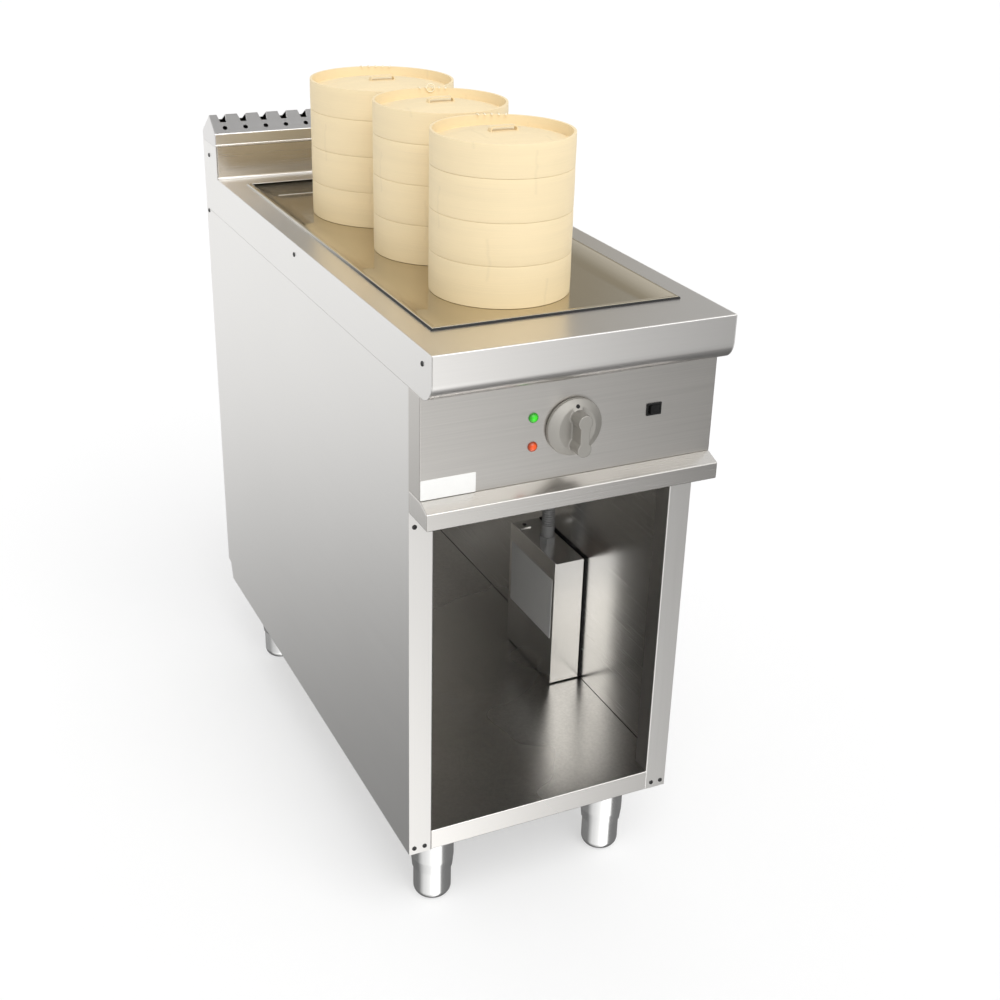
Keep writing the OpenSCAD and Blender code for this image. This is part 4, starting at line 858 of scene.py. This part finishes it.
def screw_seat(points):
    """Middle of a screw head's seat and the direction that the head faces."""
    low = Vector([min(p[k] for p in points) for k in range(3)])
    high = Vector([max(p[k] for p in points) for k in range(3)])
    size = high - low
    axis = min(range(3), key=lambda k: size[k])
    middle = (low + high) / 2
    wide = [p for p in points if max(abs((p - middle)[k]) for k in range(3) if k != axis) > SCREW_RADIUS * 0.7]
    sign = 1 if sum(p[axis] for p in wide) / len(wide) > middle[axis] else -1
    seat = middle.copy()
    seat[axis] = (high if sign > 0 else low)[axis] - sign * SCREW_HEIGHT
    direction = Vector((0, 0, 0))
    direction[axis] = sign
    return seat, direction


def make_screws(setting_tree):
    head = screw_head()
    found = screw_places()
    turns = []
    for k, (_, direction) in enumerate(found):
        spin = Matrix.Rotation(math.radians(17 * k), 4, "Z")
        facing = direction.to_track_quat("Z", "Y").to_matrix().to_4x4()
        turns.append((facing @ spin).to_euler())
    seeds = seed_points("screw_seeds", [seat for seat, _ in found], turns)
    made = grown("pan_screws", setting_tree, {"Piece": head, "Finish": finishes["screw_steel"]}, seeds)
    finish_piece(made, "cabinet", "screw_steel", ["screws"])
    bpy.data.objects.remove(head)


PLATE_SIZE = (71 * MM, 25.6 * MM)
PLATE_THICK = 0.5 * MM
LABEL_SIZE = (140 * MM, 104 * MM)
LABEL_DOWN = 30 * MM


def thin_plate(name, corner, across, up, size, lift, corner_radius):
    """Thin plate with rounded corners, lying on a face at a corner, with its edge eased."""
    normal = across.cross(up)
    outline = rounded([(0, 0), (size[0], 0), size, (0, size[1])], corner_radius, 5)

    def build(bm):
        ease = lift * 0.4
        middle = Vector((size[0] / 2, size[1] / 2))
        rows = []
        for height, inset in ((0.0, 0.0), (lift - ease, 0.0), (lift, ease)):
            row = []
            for p in outline:
                q = p + (middle - p).normalized() * inset
                row.append(bm.verts.new(corner + across * q.x + up * q.y + normal * height))
            rows.append(row)
        count = len(outline)
        for lower, upper in zip(rows, rows[1:]):
            for k in range(count):
                bm.faces.new((lower[k], lower[(k + 1) % count], upper[(k + 1) % count], upper[k]))
        bm.faces.new(rows[-1])
        bm.faces.new(rows[0][::-1])

    return add_object(name, mesh_of(name, build))


def make_plates():
    """Blank plate on the control panel and blank label on the wiring box."""
    low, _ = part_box("control_panel")
    corner = Vector((low.x + MM, low.y, low.z + 0.8 * MM))
    plate = thin_plate("blank_plate", corner, Vector((1, 0, 0)), Vector((0, 0, 1)), PLATE_SIZE, PLATE_THICK, MM)
    finish_piece(plate, "cabinet", "plate_white")
    low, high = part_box("junction_cover")
    corner = Vector((low.x, high.y - 7 * MM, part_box("junction_box")[1].z - LABEL_DOWN - LABEL_SIZE[1]))
    label = thin_plate("blank_label", corner, Vector((0, -1, 0)), Vector((0, 0, 1)), LABEL_SIZE, PLATE_THICK, MM)
    finish_piece(label, "cabinet", "plate_white", finish=finishes["label_white"])


COVE_RADIUS = 4 * MM
HEM_RADIUS = 1.3 * MM


def swept_across(name, outline, x0, x1):
    """Closed (y, z) outline drawn out across the cabinet."""

    def build(bm):
        rows = [[bm.verts.new((x, y, z)) for y, z in outline] for x in (x0, x1)]
        count = len(outline)
        for k in range(count):
            bm.faces.new((rows[0][k], rows[0][(k + 1) % count], rows[1][(k + 1) % count], rows[1][k]))
        bm.faces.new(rows[0])
        bm.faces.new(rows[1][::-1])

    return add_object(name, mesh_of(name, build))


def make_flue_folds():
    """Bright cove where the worktop turns up into the flue, and the rolled hem of the flue cap."""
    low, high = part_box("flue_duct")
    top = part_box("worktop")[1].z
    r = COVE_RADIUS
    turns = [k * math.pi / 16 for k in range(9)]
    outline = [(low.y, top)] + [(low.y - r + r * math.sin(a), top + r - r * math.cos(a)) for a in turns]
    cove = swept_across("flue_cove", outline, low.x, high.x)
    finish_piece(cove, "cabinet", "worktop_steel", finish=finishes["post_steel"], smooth=60)
    low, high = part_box("flue_cap")
    r = HEM_RADIUS
    turns = [k * math.pi / 8 for k in range(9)]
    outline = [(low.y - r * math.sin(a), low.z + 2 * r - r * math.cos(a) - r) for a in turns]
    hem = swept_across("cap_hem", [(y, z + r) for y, z in outline], low.x, high.x)
    finish_piece(hem, "flue_top", "flue_steel", finish=finishes["post_steel"], smooth=60)


BEAD_RADIUS = 1.2 * MM
RIM_FLAT = 5 * MM
BORDER_WIDTH = 32 * MM
WELL_FALL = 13 * MM


def make_well_beads():
    """Weld beads along the top and the foot of the well's back border."""
    low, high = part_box("steaming_well")
    for name, inset, fall in (("upper", RIM_FLAT, 0.0), ("lower", RIM_FLAT + BORDER_WIDTH, WELL_FALL)):
        turns = [k * math.pi / 8 for k in range(9)]
        y, z = high.y - inset, high.z - fall
        outline = [(y + BEAD_RADIUS * math.cos(a), z + BEAD_RADIUS * 0.6 * math.sin(a)) for a in turns]
        bead = swept_across(f"well_bead_{name}", outline[::-1], low.x + inset, high.x - inset)
        finish_piece(bead, "cabinet", "well_steel", finish=finishes["post_steel"], smooth=60)


CANE_LENGTH = 10 * MM
CANE_WIDTH = 2.2 * MM
CANE_HEIGHT = 0.9 * MM


def cane_stitch():
    """Short flat cane stitch along X, arched up along Z, with its ends tucked in."""

    def build(bm):
        rows = []
        for k in range(9):
            share = k / 8
            x = (share - 0.5) * CANE_LENGTH
            arch = CANE_HEIGHT * (1 - (2 * share - 1) ** 4) - CANE_HEIGHT * 0.4
            row = []
            for m in range(8):
                turn = m * math.tau / 8
                row.append(bm.verts.new((x, CANE_WIDTH / 2 * math.cos(turn), arch + CANE_HEIGHT * 0.4 * math.sin(turn))))
            rows.append(row)
        for here, there in zip(rows, rows[1:]):
            for m in range(8):
                bm.faces.new((here[m], here[(m + 1) % 8], there[(m + 1) % 8], there[m]))
        bm.faces.new(rows[0][::-1])
        bm.faces.new(rows[-1])

    return bpy.data.objects.new("cane_stitch", mesh_of("cane_stitch", build))


def facing_turn(along, outward):
    """Turn that lays a stitch along one direction with its arch towards another."""
    return Matrix((along, outward.cross(along), outward)).transposed().to_euler()


def hoop_stitches(centre, radius, low, high, start):
    """Two columns of stitches that sew a hoop's lapped end down."""
    places, turns = [], []
    for column in (-0.10, 0.06):
        outward = Vector((math.cos(start + column), math.sin(start + column), 0))
        for share in (0.25, 0.5, 0.75):
            places.append(centre + outward * (radius - STRIP_STEP) + Vector((0, 0, low + (high - low) * share)))
            turns.append(facing_turn(Vector((0, 0, 1)), outward))
    return places, turns


def rim_lashings(centre, radius, rim):
    """Stitches laid over the back of a lid's rim, which bind it to its inner ring."""
    places, turns = [], []
    for k in range(5):
        angle = math.radians(62 + 6 * k)
        outward = Vector((math.cos(angle), math.sin(angle), 0))
        places.append(centre + outward * (radius - HOOP_WALL / 2) + Vector((0, 0, rim)))
        turns.append(facing_turn(outward, Vector((0, 0, 1))))
    return places, turns


def make_stitches(stack, setting_tree):
    """Cane stitches on the tiers and lid of one stack, a piece for each body."""
    stitch = cane_stitch()
    centre, radius, lows, rim = stack_frame(stack)
    values = {"Piece": stitch, "Finish": finishes["cane_white"]}
    for k, level in enumerate((*LEVELS, "lid")):
        body = f"{stack}_lid" if level == "lid" else f"{stack}_tier_{level}"
        high = rim if level == "lid" else lows[k + 1]
        places, turns = hoop_stitches(centre, radius, lows[k], high, LAP_ANGLE + LAP_TURN * k)
        if level == "lid":
            more_places, more_turns = rim_lashings(centre, radius, rim)
            places += more_places
            turns += more_turns
        made = grown(f"{body}_stitches", setting_tree, values, seed_points(f"{body}_seeds", places, turns))
        finish_piece(made, body, "bamboo_hoop", finish=finishes["cane_white"], smooth=60)
    bpy.data.objects.remove(stitch)


LOOP_RADIUS = 5.5 * MM
LOOP_WIRE = 0.9 * MM
LOOP_ANGLE = math.radians(76)


def make_tie_loop():
    """Small cane ring that hangs over the back rim of the middle lid."""
    centre, radius, _, rim = stack_frame("middle")
    outward = Vector((math.cos(LOOP_ANGLE), math.sin(LOOP_ANGLE), 0))
    along = Vector((-outward.y, outward.x, 0))
    middle = centre + outward * (radius - HOOP_WALL - LOOP_WIRE) + Vector((0, 0, rim))

    def build(bm):
        rings = []
        for k in range(28):
            turn = k * math.tau / 28
            spoke = along * math.cos(turn) + Vector((0, 0, 1)) * math.sin(turn)
            hub = middle + spoke * LOOP_RADIUS
            ring = []
            for m in range(8):
                roll = m * math.tau / 8
                ring.append(bm.verts.new(hub + (spoke * math.cos(roll) + outward * math.sin(roll)) * LOOP_WIRE))
            rings.append(ring)
        for k in range(28):
            here, there = rings[k], rings[(k + 1) % 28]
            for m in range(8):
                bm.faces.new((here[m], here[(m + 1) % 8], there[(m + 1) % 8], there[m]))

    loop = add_object("middle_lid_loop", mesh_of("middle_lid_loop", build))
    finish_piece(loop, "middle_lid", "bamboo_hoop", finish=finishes["cane_white"], smooth=60)


KNOB_DOME_RADIUS = 63.04 * MM
KNOB_DOME_HEIGHT = 17.8 * MM
MARK_UP = 28.5 * MM
MARK_RADIUS = 2.6 * MM
MARK_HEIGHT = 0.5 * MM


def make_knob_mark():
    """Small dark dot on the knob's skirt that points at the setting."""
    low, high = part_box("knob")
    panel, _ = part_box("control_panel")
    ball = Vector(((low.x + high.x) / 2, panel.y - KNOB_DOME_HEIGHT + KNOB_DOME_RADIUS, (low.z + high.z) / 2))
    lean = math.asin(MARK_UP / KNOB_DOME_RADIUS)
    facing = Matrix.Rotation(math.pi / 2 - lean, 3, "X")

    def build(bm):
        rows = []
        for reach, rise in ((1.0, -0.6), (1.0, 0.3), (0.8, 0.8), (0.4, 1.0)):
            row = []
            for k in range(20):
                turn = k * math.tau / 20
                point = Vector((MARK_RADIUS * reach * math.cos(turn), MARK_RADIUS * reach * math.sin(turn), 0))
                point.z = KNOB_DOME_RADIUS + MARK_HEIGHT * rise
                row.append(bm.verts.new(ball + facing @ point))
            rows.append(row)
        for lower, upper in zip(rows, rows[1:]):
            for k in range(20):
                bm.faces.new((lower[k], lower[(k + 1) % 20], upper[(k + 1) % 20], upper[k]))
        bm.faces.new(rows[-1])
        bm.faces.new(rows[0][::-1])

    mark = add_object("knob_mark", mesh_of("knob_mark", build))
    finish_piece(mark, "knob", "switch_black")


SEAL_WIDTH = 1.4 * MM
SEAL_HEIGHT = 2.4 * MM


def make_rim_seal():
    """Dark sealing bead that closes the joint between the well's rim and the worktop; its black is partly painted
    shadow of the joint's gap.
    """
    low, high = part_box("steaming_well")
    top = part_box("worktop")[1].z

    def build(bm):
        rows = []
        for k in range(6):
            turn = k * math.pi / 10
            out = SEAL_WIDTH * math.cos(turn)
            rise = top + SEAL_HEIGHT * math.sin(turn)
            corners = [(low.x - out, low.y - out), (high.x + out, low.y - out),
                       (high.x + out, high.y + out), (low.x - out, high.y + out)]
            rows.append([bm.verts.new((x, y, rise)) for x, y in corners])
        rows.append([bm.verts.new((x, y, top)) for x, y in
                     ((low.x, low.y), (high.x, low.y), (high.x, high.y), (low.x, high.y))])
        for lower, upper in zip(rows, rows[1:] + rows[:1]):
            for k in range(4):
                bm.faces.new((lower[k], lower[(k + 1) % 4], upper[(k + 1) % 4], upper[k]))

    seal = add_object("rim_seal", mesh_of("rim_seal", build))
    finish_piece(seal, "cabinet", "switch_black", finish=finishes["seal_black"], smooth=60)


# Black strips that stand in as painted shadow in the cabinet's gaps
SHADOW_LINE_WIDTH = 0.8 * MM
SHADOW_PAD_THICK = 3.0 * MM
SHADOW_PAD_PROUD = 0.7 * MM


def make_inner_shadow_strips():
    """Black strips that stand in as painted shadow: a dark line in the joint of the cabinet floor with the right wall,
    and a dark pad in the gap behind the wiring box.
    """
    floor_low, floor_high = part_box("cabinet_floor")
    x, z = floor_high.x, floor_high.z

    def build(bm):
        outline = [(x - SHADOW_LINE_WIDTH, z), (x, z), (x, z + SHADOW_LINE_WIDTH)]
        rows = [[bm.verts.new((a, y, b)) for a, b in outline] for y in (floor_low.y + SHADOW_LINE_WIDTH, floor_high.y)]
        for k in range(3):
            bm.faces.new((rows[0][k], rows[0][(k + 1) % 3], rows[1][(k + 1) % 3], rows[1][k]))
        bm.faces.new(rows[0])
        bm.faces.new(rows[1][::-1])

    joint = add_object("floor_joint", mesh_of("floor_joint", build))
    finish_piece(joint, "cabinet", "switch_black", smooth=None)
    # Dark pad in the gap behind the wiring box, as painted shadow
    low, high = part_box("junction_box")
    near, far = low.y - SHADOW_PAD_PROUD, high.y + SHADOW_PAD_PROUD
    bottom, top = low.z, high.z + SHADOW_PAD_PROUD
    outline = rounded([(near, bottom), (far, bottom), (far, top), (near, top)], 2 * MM)
    shadow_pad = swept_across("box_pad", outline, high.x - SHADOW_PAD_THICK, high.x)
    finish_piece(shadow_pad, "cabinet", "switch_black")


def make_camera():
    azimuth = math.radians(CAMERA_AZIMUTH)
    elevation = math.radians(CAMERA_ELEVATION)
    roll = math.radians(CAMERA_ROLL)
    back = Vector((math.sin(azimuth) * math.cos(elevation), -math.cos(azimuth) * math.cos(elevation), math.sin(elevation)))
    right = (-back).cross(Vector((0, 0, 1))).normalized()
    up = right.cross(-back)
    turned_right = math.cos(roll) * right + math.sin(roll) * up
    turned_up = math.cos(roll) * up - math.sin(roll) * right
    data = bpy.data.cameras.new("photo_camera")
    data.lens = CAMERA_LENS
    data.sensor_width = 36.0
    data.clip_end = 200.0
    camera = bpy.data.objects.new("photo_camera", data)
    bpy.context.scene.collection.objects.link(camera)
    axes = Matrix((turned_right, turned_up, back)).transposed()
    camera.matrix_world = Matrix.Translation(CAMERA_PLACE) @ axes.to_4x4()
    bpy.context.scene.camera = camera


def make_floor():
    """White floor that keeps a soft shadow; the sky's studio tones stand in for it in reflections."""
    made, g, shader = material("studio_floor")
    tone = g.noise(g.object_place(), 0.8, 1.0)
    g.link(g.scaled(FLOOR_TONE, g.around_one(tone, 0.004)), shader.inputs["Base Color"])
    shader.inputs["Roughness"].default_value = 0.9
    shader.inputs["Specular IOR Level"].default_value = 0.1
    white = g.node("ShaderNodeEmission", {"Color": (1.0, 1.0, 1.0, 1.0), "Strength": 1.0})
    seen = g.math("MULTIPLY", g.node("ShaderNodeLightPath").outputs["Is Camera Ray"], FLOOR_WHITE)
    mixed = g.node("ShaderNodeMixShader", {0: seen, 1: shader.outputs[0], 2: white.outputs[0]})
    g.link(mixed.outputs[0], made.node_tree.nodes["Material Output"].inputs["Surface"])
    mesh = bpy.data.meshes.new("floor")
    half = FLOOR_HALF
    mesh.from_pydata([(-half, -half, 0), (half, -half, 0), (half, half, 0), (-half, half, 0)], [], [(0, 1, 2, 3)])
    mesh.materials.append(made)
    floor = add_object("floor", mesh)
    floor.visible_glossy = False


def ramp(g, value, stops):
    """Colour that runs through the stops, each a place and a grey or a colour."""
    made = g.node("ShaderNodeValToRGB", {0: value})
    elements = made.color_ramp.elements
    while len(elements) < len(stops):
        elements.new(0.5)
    for element, (place, tone) in zip(elements, stops):
        element.position = place
        rgb = tone if isinstance(tone, tuple) else (tone, tone, tone)
        element.color = (*rgb, 1.0)
    return made.outputs[0]


def studio_tones(g):
    """What steel sees of the studio: white walls, grey ceiling, grey floor left, dark corners right."""
    x, y, z = g.node("ShaderNodeSeparateXYZ", {0: g.node("ShaderNodeTexCoord").outputs["Generated"]}).outputs
    height = g.math("MULTIPLY_ADD", z, 0.5, 0.5)
    behind = ramp(g, height, BACK_TONES)
    ahead = ramp(g, height, FRONT_TONES)
    depth = g.math("MAXIMUM", g.math("ABSOLUTE", y), 0.001)
    side = g.math("MULTIPLY_ADD", g.math("DIVIDE", x, depth), 0.25, 0.5)
    right_behind = g.node("ShaderNodeVectorMath", {0: behind, 1: ramp(g, side, BACK_SIDES)}, operation="MULTIPLY").outputs[0]
    above = g.node("ShaderNodeMapRange", {"Value": z, "From Min": -0.12, "From Max": 0.05}).outputs[0]
    below = g.node("ShaderNodeMapRange", {"Value": z, "From Min": 0.65, "From Max": 0.40}).outputs[0]
    shaded = g.math("MULTIPLY", above, below)
    behind = g.node("ShaderNodeMix", {0: shaded, 6: behind, 7: right_behind}, data_type="RGBA").outputs[2]
    right_ahead = g.node("ShaderNodeVectorMath", {0: ahead, 1: ramp(g, side, FRONT_SIDES)}, operation="MULTIPLY").outputs[0]
    low_ahead = g.node("ShaderNodeMapRange", {"Value": z, "From Min": 0.35, "From Max": 0.05}).outputs[0]
    ahead = g.node("ShaderNodeMix", {0: low_ahead, 6: ahead, 7: right_ahead}, data_type="RGBA").outputs[2]
    where = g.node("ShaderNodeMapRange", {"Value": y, "From Min": -0.22, "From Max": 0.22}).outputs[0]
    return g.node("ShaderNodeMix", {0: where, 6: ahead, 7: behind}, data_type="RGBA").outputs[2]


# Tones of the studio by height of view, from straight down at 0 to straight up at 1
BACK_TONES = [
    (0.0, 0.12), (0.20, 0.19), (0.23, 0.27), (0.25, 0.37), (0.315, 0.92), (0.37, 1.08), (0.55, 1.08), (0.72, 0.95),
    (0.91, 0.92), (0.955, 0.33), (1.0, 0.12),
]
FRONT_TONES = [
    (0.0, 0.9), (0.10, 1.5), (0.17, 1.85), (0.20, 1.66), (0.26, 1.13), (0.31, 1.0), (0.5, 1.0), (0.70, 1.2), (0.85, 1.15), (0.94, 0.6),
    (1.0, 0.12),
]
# Tones by side step over depth, from two to the left at 0 to two to the right at 1
BACK_SIDES = [
    (0.0, 0.9), (0.50, 0.9), (0.56, (0.40, 0.38, 0.33)), (0.64, (0.37, 0.34, 0.28)), (0.66, (0.45, 0.45, 0.44)),
    (0.75, (0.48, 0.48, 0.48)), (1.0, 0.45),
]
FRONT_SIDES = [
    (0.0, 0.50), (0.30, 0.62), (0.40, 0.80), (0.50, 1.06), (0.60, 1.06), (0.615, 0.85), (0.63, 0.66), (0.655, 0.33), (0.67, 0.15), (1.0, 0.12),
]


def make_light():
    """White sky with studio tones for metal, and a broad soft key from the front."""
    world = bpy.data.worlds.new("studio")
    bpy.context.scene.world = world
    world.use_nodes = True
    g = Graph(world.node_tree)
    sky = world.node_tree.nodes["Background"]
    path = g.node("ShaderNodeLightPath").outputs
    seen = g.math("MAXIMUM", path["Is Camera Ray"], g.math("MAXIMUM", path["Is Glossy Ray"], path["Is Transmission Ray"]))
    strength = g.math("MULTIPLY_ADD", seen, 1 - SKY_STRENGTH, SKY_STRENGTH)
    g.link(strength, sky.inputs["Strength"])
    inputs = {0: path["Is Glossy Ray"], 6: (1.0, 1.0, 1.0, 1.0), 7: studio_tones(g)}
    g.link(g.node("ShaderNodeMix", inputs, data_type="RGBA").outputs[2], sky.inputs["Color"])
    key = bpy.data.lights.new("key", "SUN")
    key.energy = KEY_STRENGTH
    key.angle = math.radians(KEY_SPREAD)
    lamp = bpy.data.objects.new("key", key)
    bpy.context.scene.collection.objects.link(lamp)
    lamp.matrix_world = KEY_FROM.to_track_quat("Z", "Y").to_matrix().to_4x4()


FOLD_ROUNDS = {
    "worktop": 1.6, "end_trim_left": 0.6, "end_trim_right": 0.6, "side_panel_left": 0.6, "side_panel_right": 0.6,
    "flue_duct": 1.6, "flue_cap": 1.4, "control_panel": 1.6, "drip_ledge": 1.6, "front_post_left": 1.4,
    "front_post_right": 1.4, "cabinet_floor": 1.4, "junction_box": 1.2, "junction_cover": 1.2,
    "steaming_well": 1.2, "switch_housing": 0.6, "switch_rocker": 0.5,
}

dress_solids()
for node, radius in FOLD_ROUNDS.items():
    eased(node, radius * MM)
softened("knob")
slat_tree = make_slat_tree()
setting_tree = make_setting_tree()
for stack in STACKS:
    make_tiers(stack, slat_tree)
    make_stitches(stack, setting_tree)
make_screws(setting_tree)
make_plates()
make_flue_folds()
make_well_beads()
make_tie_loop()
make_knob_mark()
make_rim_seal()
make_inner_shadow_strips()
make_camera()
make_floor()
make_light()

bpy.context.scene.view_settings.view_transform = "Standard"
bpy.context.view_layer.update()
